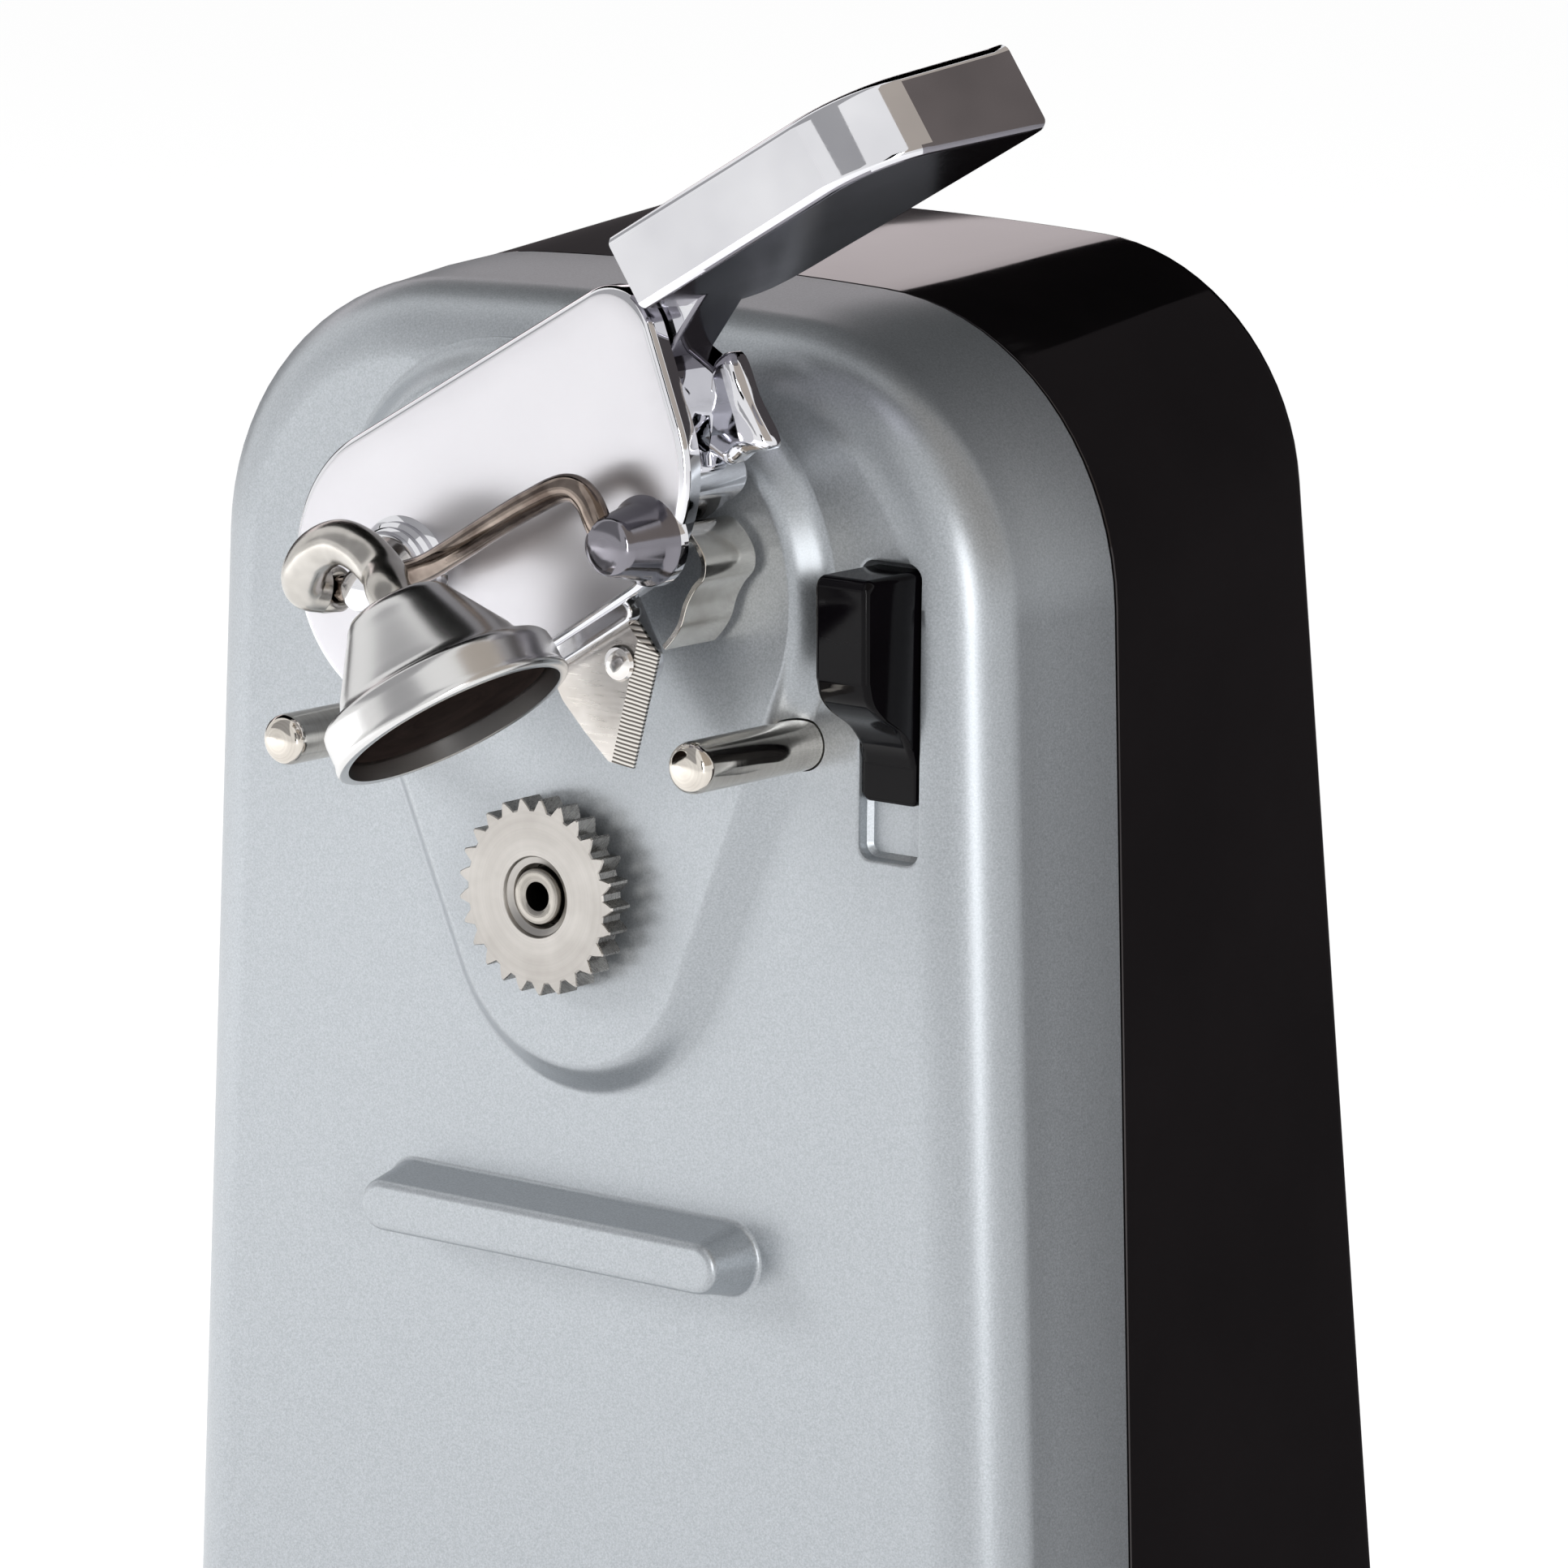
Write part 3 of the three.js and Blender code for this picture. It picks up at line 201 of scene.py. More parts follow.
# %% Shader group: grain
def make_grain():
    tree, start, end = start_group("grain", {"Size mm": 0.3, "Patch mm": 8.0}, ("Grain", "Patches"))
    place = add_node(tree, "TexCoord")
    for source, label in (("Size mm", "Grain"), ("Patch mm", "Patches")):
        scale = add_node(tree, "Math", operation="DIVIDE")
        scale.inputs[0].default_value = 1000
        wire(tree, start.outputs[source], scale.inputs[1])
        noise = add_node(tree, "TexNoise", Detail=3.0, Roughness=0.6)
        wire(tree, place.outputs["Object"], noise.inputs["Vector"])
        wire(tree, scale.outputs[0], noise.inputs["Scale"])
        wire(tree, noise.outputs["Fac"], end.inputs[label])
    return tree


grain = make_grain()
print("group:", grain.name)

# %% [markdown]
# **Tool marks.** A turned piece keeps rings from the lathe, and they run round its own axis. The group
# measures the distance from an axis and the height along it, and feeds both to a stretched noise, so
# the marks are rings on a flat end and hoops on a round side. Both coordinates are per millimetre.

# %% Shader group: turning marks about an axis
def make_turning():
    inputs = {"Middle": (0.0, 0.0, 0.0), "Axis": (0.0, 1.0, 0.0), "Marks per mm": 4.0}
    tree, start, end = start_group("turning", inputs, ("Marks", "Radius mm", "Along mm"))
    place = add_node(tree, "TexCoord")
    offset = add_node(tree, "VectorMath", operation="SUBTRACT")
    wire(tree, place.outputs["Object"], offset.inputs[0])
    wire(tree, start.outputs["Middle"], offset.inputs[1])
    along = add_node(tree, "VectorMath", operation="DOT_PRODUCT")
    across = add_node(tree, "VectorMath", operation="CROSS_PRODUCT")
    for node in (along, across):
        wire(tree, offset.outputs["Vector"], node.inputs[0])
        wire(tree, start.outputs["Axis"], node.inputs[1])
    length = add_node(tree, "VectorMath", operation="LENGTH")
    wire(tree, across.outputs["Vector"], length.inputs[0])
    both = add_node(tree, "CombineXYZ")
    for source, socket, label in ((length, "X", "Radius mm"), (along, "Y", "Along mm")):
        measure = add_node(tree, "Math", operation="MULTIPLY")
        measure.inputs[1].default_value = 1000
        wire(tree, source.outputs["Value"], measure.inputs[0])
        wire(tree, measure.outputs[0], end.inputs[label])
        wire(tree, measure.outputs[0], both.inputs[socket])
    noise = add_node(tree, "TexNoise", Detail=4.0, Roughness=0.7)
    wire(tree, both.outputs["Vector"], noise.inputs["Vector"])
    wire(tree, start.outputs["Marks per mm"], noise.inputs["Scale"])
    wire(tree, noise.outputs["Fac"], end.inputs["Marks"])
    return tree


turning = make_turning()
print("group:", turning.name)

# %% [markdown]
# **Brushing.** Polished and rolled metal has fine scratches along its length. The group squeezes the
# coordinates along x before it reads a noise, which draws the noise out into lines.

# %% Shader group: brushing along a direction
def make_brushing():
    tree, start, end = start_group("brushing", {"Line mm": 0.25, "Length": 20.0}, ("Lines",))
    place = add_node(tree, "TexCoord")
    split = add_node(tree, "SeparateXYZ")
    wire(tree, place.outputs["Object"], split.inputs[0])
    squeeze = add_node(tree, "Math", operation="DIVIDE")
    wire(tree, split.outputs["X"], squeeze.inputs[0])
    wire(tree, start.outputs["Length"], squeeze.inputs[1])
    both = add_node(tree, "CombineXYZ")
    wire(tree, squeeze.outputs[0], both.inputs["X"])
    for label in ("Y", "Z"):
        wire(tree, split.outputs[label], both.inputs[label])
    scale = add_node(tree, "Math", operation="DIVIDE")
    scale.inputs[0].default_value = 1000
    wire(tree, start.outputs["Line mm"], scale.inputs[1])
    noise = add_node(tree, "TexNoise", Detail=2.0, Roughness=0.5)
    wire(tree, both.outputs["Vector"], noise.inputs["Vector"])
    wire(tree, scale.outputs[0], noise.inputs["Scale"])
    wire(tree, noise.outputs["Fac"], end.inputs["Lines"])
    return tree


brushing = make_brushing()
print("group:", brushing.name)

# %% [markdown]
# Masks become finishes in three ways: a ramp between two colours, a range of roughness, and a bump.
# These helpers do one each, so that a finish reads as a short list of what varies and how much.

# %% Helpers that turn a mask into colour, roughness and relief
def vary_color(tree, shader, mask, low, high, start=0.35, end=0.65):
    ramp = add_node(tree, "ValToRGB")
    ramp.color_ramp.elements[0].position = start
    ramp.color_ramp.elements[1].position = end
    ramp.color_ramp.elements[0].color = (*low, 1)
    ramp.color_ramp.elements[1].color = (*high, 1)
    wire(tree, mask, ramp.inputs["Fac"])
    wire(tree, ramp.outputs["Color"], shader.inputs["Base Color"])


def vary_roughness(tree, shader, mask, low, high):
    spread = add_node(tree, "MapRange")
    spread.inputs["From Min"].default_value = 0.3
    spread.inputs["From Max"].default_value = 0.7
    spread.inputs["To Min"].default_value = low
    spread.inputs["To Max"].default_value = high
    wire(tree, mask, spread.inputs["Value"])
    wire(tree, spread.outputs["Result"], shader.inputs["Roughness"])


def raise_relief(tree, shader, height, depth_mm, strength=0.3):
    bump = add_node(tree, "Bump", Strength=strength)
    bump.inputs["Distance"].default_value = depth_mm * MM
    wire(tree, height, bump.inputs["Height"])
    wire(tree, bump.outputs["Normal"], shader.inputs["Normal"])


print("finish helpers ready: vary_color, vary_roughness, raise_relief")

# %% [markdown]
# **Silver paint** covers the front. It is a metallic lacquer: small aluminium flakes in a clear coat,
# so each flake catches the light a little differently. Grain of a fifth of a millimetre varies the
# colour and the roughness, and a faint relief breaks up the highlights.

# %% Finish: silver paint
def make_silver_paint():
    material, tree, shader = start_material("silver_paint", (0.44, 0.47, 0.5), 0.55, 0.34)
    flakes = place_group(tree, grain, Size_mm=0.2, Patch_mm=30.0)
    dark_flake, bright_flake = (0.37, 0.395, 0.42), (0.54, 0.57, 0.6)
    vary_color(tree, shader, flakes.outputs["Grain"], dark_flake, bright_flake, 0.3, 0.72)
    vary_roughness(tree, shader, flakes.outputs["Grain"], 0.3, 0.38)
    raise_relief(tree, shader, flakes.outputs["Grain"], 0.012, 0.2)
    return material


silver_paint = make_silver_paint()
print("finish:", silver_paint.name)

# %% [markdown]
# **Gloss black** is a polished moulding. It is almost a mirror, but a real one is never quite flat and
# never quite clean: a slow waviness bends the reflections, and patches of handling dull them slightly.
# Its reflections are tinted a little warm.

# %% Finish: gloss black moulding
def make_gloss_black():
    material, tree, shader = start_material("gloss_black", (0.004, 0.0036, 0.004), 0, 0.045)
    shader.inputs["Specular Tint"].default_value = (1, 0.92, 0.93, 1)
    shader.inputs["Specular IOR Level"].default_value = 0.6
    patches = place_group(tree, grain, Size_mm=1.6, Patch_mm=26.0).outputs["Patches"]
    vary_color(tree, shader, patches, (0.008, 0.007, 0.0076), (0.0115, 0.0098, 0.0105))
    vary_roughness(tree, shader, patches, 0.03, 0.085)
    raise_relief(tree, shader, patches, 0.05, 0.05)
    return material


gloss_black = make_gloss_black()
print("finish:", gloss_black.name)

# %% [markdown]
# **Plastics and rubber.** The switch slider is a deep, smooth black that reflects little. The base comes
# from a rougher mould, rubber is greyer and dull, and the gears are a pale nylon. They differ only in
# their two colours, the range of roughness, and the size and depth of the grain.

# %% Finishes: plastics and rubber
def make_plastic(name, dark, light, smooth, rough, size, depth, shine=0.5):
    material, tree, shader = start_material(name, dark, 0, rough)
    shader.inputs["Specular IOR Level"].default_value = shine
    texture = place_group(tree, grain, Size_mm=size, Patch_mm=14.0)
    vary_color(tree, shader, texture.outputs["Patches"], dark, light)
    vary_roughness(tree, shader, texture.outputs["Grain"], smooth, rough)
    raise_relief(tree, shader, texture.outputs["Grain"], depth, 0.3)
    return material


satin_black = make_plastic("satin_black", (0.0025, 0.002, 0.003), (0.005, 0.004, 0.0055),
                           0.05, 0.1, 0.3, 0.002, shine=0.1)
base_black = make_plastic("base_black", (0.012, 0.012, 0.013), (0.02, 0.02, 0.021),
                          0.4, 0.62, 0.5, 0.03)
black_rubber = make_plastic("black_rubber", (0.02, 0.02, 0.021), (0.034, 0.033, 0.032),
                            0.65, 0.85, 0.8, 0.05)
nylon = make_plastic("nylon", (0.62, 0.58, 0.48), (0.78, 0.75, 0.66), 0.32, 0.5, 0.7, 0.02)
print("finishes:", satin_black.name, base_black.name, black_rubber.name, nylon.name)

# %% [markdown]
# ** Polished and plated metal.** Chrome on the lever is bright and slightly cool. The polish leaves a
# gentle unevenness and very fine wiping marks, so its reflections are clean but alive. The front of the
# lever's plate is softer, as handling has dulled it. The cone, the neck and the handle's underside get a
# darker copy of the chrome, which is painted shade and painted dark reflection. The same maker gives
# other bright metals later.

# %% Finishes: chrome
def make_plating(name, low, high, smooth, rough, wave_mm, wave_depth):
    material, tree, shader = start_material(name, high, 1, smooth)
    polish = place_group(tree, brushing, Line_mm=0.35, Length=14.0)
    surface = place_group(tree, grain, Size_mm=wave_mm, Patch_mm=wave_mm * 5)
    vary_color(tree, shader, surface.outputs["Patches"], low, high)
    vary_roughness(tree, shader, polish.outputs["Lines"], smooth, rough)
    raise_relief(tree, shader, surface.outputs["Grain"], wave_depth, 0.06)
    return material


chrome = make_plating("chrome", (0.7, 0.7, 0.73), (0.8, 0.8, 0.825), 0.035, 0.075, 3.0, 0.05)
plate_chrome = make_plating("plate_chrome", (0.59, 0.58, 0.61), (0.67, 0.66, 0.685),
                            0.33, 0.34, 12.0, 0.004)
# A darker copy of the chrome for the cone, the neck and the handle's underside: painted shade and painted dark
# reflection.
painted_shade_chrome = make_plating("painted_shade_chrome", (0.16, 0.155, 0.175), (0.26, 0.25, 0.28),
                             0.12, 0.16, 5.0, 0.01)
print("finishes:", chrome.name, plate_chrome.name, painted_shade_chrome.name)

# %% [markdown]
# **Turned and satin steel.** The drive wheel's face, the pins' ends, the cup and the rivets were all
# finished on a lathe or a wheel, so each gets marks about its own axis. The maker takes that axis in
# the frame's metres, because every mesh keeps its place in its own coordinates. The colour follows the
# marks and some slow patches in equal parts.

# %% Maker for turned metal
def make_turned(name, low, high, smooth, rough, middle, axis=(0, 1, 0), marks=4.0, depth=0.01):
    material, tree, shader = start_material(name, high, 1, rough)
    lathe_marks = place_group(tree, turning, Middle=tuple(middle), Axis=tuple(axis), Marks_per_mm=marks)
    surface = place_group(tree, grain, Size_mm=0.5, Patch_mm=5.0)
    both = add_node(tree, "Math", operation="MULTIPLY_ADD")
    both.inputs[1].default_value = 0.5
    wire(tree, surface.outputs["Patches"], both.inputs[0])
    half = add_node(tree, "Math", operation="MULTIPLY")
    half.inputs[1].default_value = 0.5
    wire(tree, lathe_marks.outputs["Marks"], half.inputs[0])
    wire(tree, half.outputs[0], both.inputs[2])
    vary_color(tree, shader, both.outputs[0], low, high)
    vary_roughness(tree, shader, lathe_marks.outputs["Marks"], smooth, rough)
    raise_relief(tree, shader, lathe_marks.outputs["Marks"], depth, 0.35)
    return material


lever_up = Vector((-math.sin(lever_open), 0, math.cos(lever_open)))
print("the cup's axis at rest:", lever_up)

# %% [markdown]
# Most pieces are skins over a row of outlines, bodies turned on a lathe, or a round section swept
# along a curve. Each helper gives points and faces in millimetres; the piece is placed afterwards.
# Rows keep the same number of points, so the faces between them stay clean four-sided strips. A
# rounded edge is a quarter circle of rows, each with its depth and how far the outline grows there.

# %% Outlines
def arc(middle, radius, start, end, steps):
    angles = [math.radians(start + (end - start) * i / steps) for i in range(steps + 1)]
    return [(middle[0] + radius * math.cos(a), middle[1] + radius * math.sin(a)) for a in angles]


def hull(circles, grow=0.0, step=5.0):
    facing = []
    for i, (x, z, r) in enumerate(circles):
        x2, z2, r2 = circles[(i + 1) % len(circles)]
        tilt = math.acos((r - r2) / math.hypot(x2 - x, z2 - z))
        facing.append(math.degrees(math.atan2(z2 - z, x2 - x) - tilt))
    outline = []
    for i, (x, z, r) in enumerate(circles):
        turn = (facing[i] - facing[i - 1]) % 360
        steps = max(1, round(turn / step))
        outline += arc((x, z), r + grow, facing[i - 1], facing[i - 1] + turn, steps)
    return outline


def rounded_box(middle, size, radius, step=10.0):
    dx, dz = size[0] / 2 - radius, size[1] / 2 - radius
    corners = [(dx, -dz), (dx, dz), (-dx, dz), (-dx, -dz)]
    return hull([(middle[0] + x, middle[1] + z, radius) for x, z in corners], 0, step)


def quarter(steps):
    return [math.pi / 2 * i / steps for i in range(steps + 1)]


def rounding(y, grow, edge, steps):
    return [(y + edge * (1 - math.sin(a)), grow - abs(edge) * (1 - math.cos(a))) for a in quarter(steps)]


print("a round of two circles has", len(hull([(0, 0, 2), (5, 0, 1)])), "points")

# %% Skins, turned bodies and swept rods
def skin(rows, closed=False):
    count = len(rows[0])
    faces = []
    for s in range(len(rows) if closed else len(rows) - 1):
        near, far = s * count, (s + 1) % len(rows) * count
        for i in range(count):
            j = (i + 1) % count
            faces.append((near + i, near + j, far + j, far + i))
    if not closed:
        faces.append(tuple(reversed(range(count))))
        faces.append(tuple(range((len(rows) - 1) * count, len(rows) * count)))
    return [point for row in rows for point in row], faces


def stacked(outline, rows):
    return skin([[(x, y, z) for x, z in outline(grow)] for y, grow in rows])


def turned(profile, middle=(0, 0), steps=72, closed=False):
    angles = [2 * math.pi * i / steps for i in range(steps)]
    rows = []
    for radius, y in profile:
        radius = max(radius, 0.004)
        round_row = [(radius * math.cos(a), radius * math.sin(a)) for a in angles]
        rows.append([(middle[0] + x, y, middle[1] + z) for x, z in round_row])
    return skin(rows, closed)


def stood(profile, middle=(0, 0), steps=72, closed=False):
    verts, faces = turned(profile, (0, 0), steps, closed)
    return [(middle[0] + x, middle[1] - z, y) for x, y, z in verts], faces


def curve_points(points, steps):
    points = [Vector(p) for p in points]
    ends = [points[0] * 2 - points[1]] + points + [points[-1] * 2 - points[-2]]
    times = [0.0]
    for a, b in zip(ends, ends[1:]):
        times.append(times[-1] + max((b - a).length, 1e-6) ** 0.5)
    path = []
    for k in range(steps + 1):
        share = k / steps * (len(points) - 1)
        i = min(int(share), len(points) - 2)
        t0, t1, t2, t3 = times[i:i + 4]
        t = t1 + (share - i) * (t2 - t1)
        p0, p1, p2, p3 = ends[i:i + 4]
        a1 = p0.lerp(p1, (t - t0) / (t1 - t0))
        a2 = p1.lerp(p2, (t - t1) / (t2 - t1))
        a3 = p2.lerp(p3, (t - t2) / (t3 - t2))
        b1 = a1.lerp(a2, (t - t0) / (t2 - t0))
        b2 = a2.lerp(a3, (t - t1) / (t3 - t1))
        path.append(b1.lerp(b2, (t - t1) / (t2 - t1)))
    return path


def smooth_outline(points, steps):
    return [(p.x, p.y) for p in curve_points([(*point, 0) for point in points], steps)]


def directions(path):
    ways = [(b - a).normalized() for a, b in zip(path, path[1:])]
    return ways + ways[-1:]


def ring(at, side, other, radius, sides):
    angles = [2 * math.pi * k / sides for k in range(sides)]
    return [at + (side * math.cos(a) + other * math.sin(a)) * radius for a in angles]


def rod(points, radius, steps=90, sides=28):
    path = curve_points(points, steps)
    ways = directions(path)
    side = ways[0].orthogonal().normalized()
    rows, end_radius, end_length = [], radius * 0.8, radius * 0.09
    for i, (at, way) in enumerate(zip(path, ways)):
        side = (side - way * side.dot(way)).normalized()
        other = way.cross(side)
        if i == 0:
            rows.append(ring(at, side, other, end_radius, sides))
            at = at + way * end_length
        rows.append(ring(at, side, other, radius, sides))
    rows.append(ring(path[-1] + way * 0.1, side, other, end_radius, sides))
    return skin(rows)


print("helpers ready: skin, stacked, turned, stood, smooth_outline, rod")

# %% [markdown]
# A skin becomes a Blender object in two steps. `solid` makes the mesh in place and turns its faces
# outward. `combine` joins or cuts solids with the exact boolean that needs closed meshes, and keeps
# the result as plain mesh. `dress` gives the piece its finish and its smooth shading, sets sharp
# edges by angle, hides the drawn piece that it stands for, and lets it ride on its body. `refinish`
# gives some of its faces another finish, chosen by where they are and which way they look.

# %% From points to a finished piece
def solid(name, shape, place=on_body):
    verts, faces = shape
    mesh = bpy.data.meshes.new(name)
    mesh.from_pydata([place(*point) for point in verts], [], faces)
    tool = bmesh.new()
    tool.from_mesh(mesh)
    bmesh.ops.remove_doubles(tool, verts=tool.verts, dist=2e-7)
    bmesh.ops.recalc_face_normals(tool, faces=tool.faces)
    tool.to_mesh(mesh)
    tool.free()
    piece = bpy.data.objects.new(name, mesh)
    scene.collection.objects.link(piece)
    return piece


def combine(piece, operation, *others):
    for other in others:
        join = piece.modifiers.new("join", "BOOLEAN")
        join.operation = operation
        join.solver = "MANIFOLD"
        join.object = other
        bpy.context.view_layer.update()
        ready = piece.evaluated_get(bpy.context.evaluated_depsgraph_get())
        mesh = bpy.data.meshes.new_from_object(ready)
        piece.modifiers.clear()
        piece.data = mesh
        bpy.data.objects.remove(other)
    return piece


def dress(piece, finish, body, *nodes, sharp=32.0, weighted=True):
    piece.data.materials.clear()
    piece.data.materials.append(finish)
    piece.data.shade_smooth()
    piece.data.set_sharp_from_angle(angle=math.radians(sharp))
    if weighted:
        even = piece.modifiers.new("even normals", "WEIGHTED_NORMAL")
        even.keep_sharp = True
    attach(piece, body)
    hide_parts(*nodes)
    print(piece.name, "stands for", ", ".join(nodes), "with", len(piece.data.polygons), "faces")
    return piece


def refinish(piece, finish, chosen):
    piece.data.materials.append(finish)
    faces = [face for face in piece.data.polygons if chosen(face)]
    for face in faces:
        face.material_index = len(piece.data.materials) - 1
    print(len(faces), "faces of", piece.name, "are", finish.name)


def spot(face):
    return (face.center - origin) / MM


# %% [markdown]
# **The body's outline.** Seen from the front, the sides widen downward by a couple of degrees, the top
# is a long shallow arch, and a shoulder arc touches both. Each outline of the cover and the shell is
# this one curve grown or shrunk. The middle of a shoulder lies on a line parallel to the side, where
# its distance from the arch's middle leaves just the shoulder's radius.

# %% Body outline
half_width, side_taper = 52.9, math.radians(2.25)
crown_height, crown_radius, shoulder_radius = 60.9, 465.0, 30.3
cover_depth, cover_draft, cover_edge = 21.0, 1.25, 8.0
wall = 2.5
axis_height = origin.z / MM
body_middle = (cad_low.x + cad_high.x) / 2 / MM - origin.x / MM


def half_width_at(z, grow):
    return half_width + grow / math.cos(side_taper) - z * math.tan(side_taper)


def body_outline(grow, shoulder, floor, rise=None, steps=18):
    crown = crown_radius + (grow if rise is None else rise)
    turn = shoulder + grow
    low = crown_height - crown_radius
    foot = Vector((half_width_at(0, grow) - turn / math.cos(side_taper), -low))
    upward = Vector((-math.sin(side_taper), math.cos(side_taper)))
    along = foot.dot(upward)
    reach = -along + math.sqrt(along ** 2 - foot.length_squared + (crown - turn) ** 2)
    middle = foot + upward * reach
    meet = math.degrees(math.atan2(middle.y, middle.x))
    side = [(half_width_at(z, grow), z) for z in (floor, floor * 0.6, floor * 0.2)]
    shoulder_arc = arc((middle.x, low + middle.y), turn, math.degrees(side_taper), meet, steps)
    crown_arc = arc((0, low), crown, meet, 90, 8)[1:]
    right_half = side + shoulder_arc + crown_arc
    left_half = [(-x, z) for x, z in reversed(right_half[:-1])]
    return [(body_middle + x, z) for x, z in right_half + left_half]


print("outline points:", len(body_outline(0, shoulder_radius, -150)))

# %% [markdown]
# **The silver cover** is a shallow moulding with a soft front edge. Its outside is a skin from the seam
# forward: a slightly drafted side, then a quarter round of 8 mm, then the flat face. The hollow behind
# it is the same skin moved in by the wall. The two are one closed body, cut by the boolean.

# %% Cover: outer skin and hollow
underside = 3 - axis_height
seam_lip = 0.22


def cover_skin(inset, floor, seam):
    edge = cover_edge - inset
    rows = [(seam, -inset)]
    if inset == 0:
        rows = [(seam, -seam_lip * 0.7), (seam - seam_lip * 0.3, -seam_lip * 0.2), (seam - seam_lip, 0)]
        rows += [(seam - 5, -cover_draft * 0.25), (seam - 10, -cover_draft * 0.72)]
    rows += rounding(inset, -inset - cover_draft, edge, 14)
    return stacked(lambda grow: body_outline(grow, shoulder_radius, floor), rows)


cover = solid("front_cover_visual", cover_skin(0, underside, cover_depth))
combine(cover, "DIFFERENCE", solid("hollow", cover_skin(wall, underside - 5, cover_depth + 1)))
print("cover faces:", len(cover.data.polygons))

# %% [markdown]
# **The raised panel** round the mechanism and **the bar** that steadies the can are pads on the face.
# A pad's wall is a soft S: it leaves the face tangentially, slopes, and rolls over at the top. The
# panel's wall is broad and soft, the bar's is steep with a small edge.

# %% Pads on the face
def soft_wall(height, foot_reach, top_reach, steps=12):
    rows = [(1.0, foot_reach)]
    for i in range(steps + 1):
        share = i / steps
        ease = share * share * (3 - 2 * share)
        rows.append((0.01 - (height + 0.01) * ease, foot_reach - (foot_reach + top_reach) * share))
    return rows


def bar_wall(height, draft, edge):
    rows = [(1.0, draft + 0.5), (0.01, draft + 0.5), (-0.15, draft + 0.2), (-0.5, draft * 0.95)]
    return rows + rounding(-height, 0, edge, 6)


def panel_outline(grow):
    return hull([(0.8, -3, 16.2), (9.4, 31.5, 21), (-9.4, 31.5, 21)], grow, 4)


def bar_outline(grow):
    return hull([(19.7, -35.2, 2.7), (-21.5, -35.2, 2.7)], grow, 10)


panel = solid("panel", stacked(panel_outline, soft_wall(3, 2.2, 1.8)))
ledge = solid("ledge", stacked(bar_outline, bar_wall(ledge_reach, 1, 0.9)))
combine(cover, "UNION", panel, ledge)
print("with the pads:", len(cover.data.polygons), "faces")

# %% [markdown]
# **The slider's track** is a shallow recess with a rounded lip, and a slot in its floor for the stem.
# The backing behind it keeps the wall whole. The holes for the pins, the lever's stud and the shaft's
# bushing go right through. Every cutter is a closed skin that reaches well past the face.

# %% Cover: track, backing and holes
slider_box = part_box("switch_slider")
slider_x = on_face(middle_of("switch_slider"))[0]
slider_low, slider_top = [on_face(corner)[1] for corner in slider_box]
room_above, room_below, track_width = 0.5, 5.7, 7.1
track_middle = (slider_x, (slider_top + room_above + slider_low - room_below) / 2)
track_size = (track_width, slider_top + room_above - slider_low + room_below)


def prism(outline, y0, y1):
    return stacked(lambda grow: outline, [(y0, 0), (y1, 0)])


def lipped(middle, size, radius, lip, depth):
    def outline(grow):
        return rounded_box(middle, (size[0] + 2 * grow, size[1] + 2 * grow), radius + grow)

    rows = [(-1.0, lip), (0.0, lip), (lip * 0.3, lip * 0.3), (lip, 0), (depth - 0.5, 0), (depth, -0.5)]
    return stacked(outline, rows)


backing_outline = rounded_box(track_middle, (track_size[0] + 4, track_size[1] + 4), 2)
combine(cover, "UNION", solid("backing", prism(backing_outline, 2, 4.3)))
stem_slot = prism(rounded_box((slider_x, slider_top - 13.3), (4, 14.2), 0.8), 0, 6)
cutters = [solid("track", lipped(track_middle, track_size, 1.4, 0.45, 1.8)), solid("slot", stem_slot)]
holes = [(on_face(middle_of(f"guide_pin_{side}")), 2.72) for side in ("right", "left")]
holes += [(on_face(middle_of("shaft_bushing")), 6.3), ((pivot.x / MM, pivot.z / MM), 3.8)]
cutters += [solid("hole", turned([(radius, -5), (radius, 5)], at)) for at, radius in holes]
combine(cover, "DIFFERENCE", *cutters)
dress(cover, silver_paint, "housing", "front_cover", sharp=38)

# %% [markdown]
# **The black shell** carries the same outline back from the seam. It draws in at the sides and rises
# at the top, and its back leans forward going up, so the rows near the back follow a leaning plane. A
# small quarter round finishes the back edge. The cord's outlet is cut through the back near the base.

# %% Rear shell
shell_depth, shell_narrowing, shell_rise = 41.0, 2.8, 3.0
shell_lean, shell_shoulder, shell_edge = math.radians(5.3), 24.6, 2.2
gap = 0.3


def back_at(z):
    return cover_depth + shell_depth - math.tan(shell_lean) * z


def shell_skin(inset, floor, seam):
    edge = max(shell_edge - inset, 0.5)
    rows = [[(x, seam, z) for x, z in body_outline(-inset - 0.1, shoulder_radius, floor)]]
    if inset == 0:
        rows.append([(x, seam + 0.12, z) for x, z in body_outline(0, shoulder_radius, floor)])
    shoulder = shell_shoulder + shell_narrowing
    first = body_outline(-inset, shoulder_radius, floor)
    last_grow = -shell_narrowing - inset
    last = body_outline(last_grow, shoulder, floor, last_grow + shell_narrowing + shell_rise)
    for share in (0.25, 0.5, 0.75):
        row = []
        for (x0, z0), (x1, z1) in zip(first, last):
            end = back_at(z1) - inset - edge
            row.append((x0 + (x1 - x0) * share, seam + (end - seam) * share, z0 + (z1 - z0) * share))
        rows.append(row)
    for a in quarter(8):
        grow = last_grow - edge * (1 - math.cos(a))
        outline = body_outline(grow, shoulder, floor, grow + shell_narrowing + shell_rise)
        rows.append([(x, back_at(z) - inset - edge * (1 - math.sin(a)), z) for x, z in outline])
    return skin(rows)


shell = solid("rear_shell_visual", shell_skin(0, underside, cover_depth + gap))
combine(shell, "DIFFERENCE", solid("hollow", shell_skin(wall, underside - 5, cover_depth - 1)))
outlet_height = middle_of("cord_gland").z / MM - axis_height


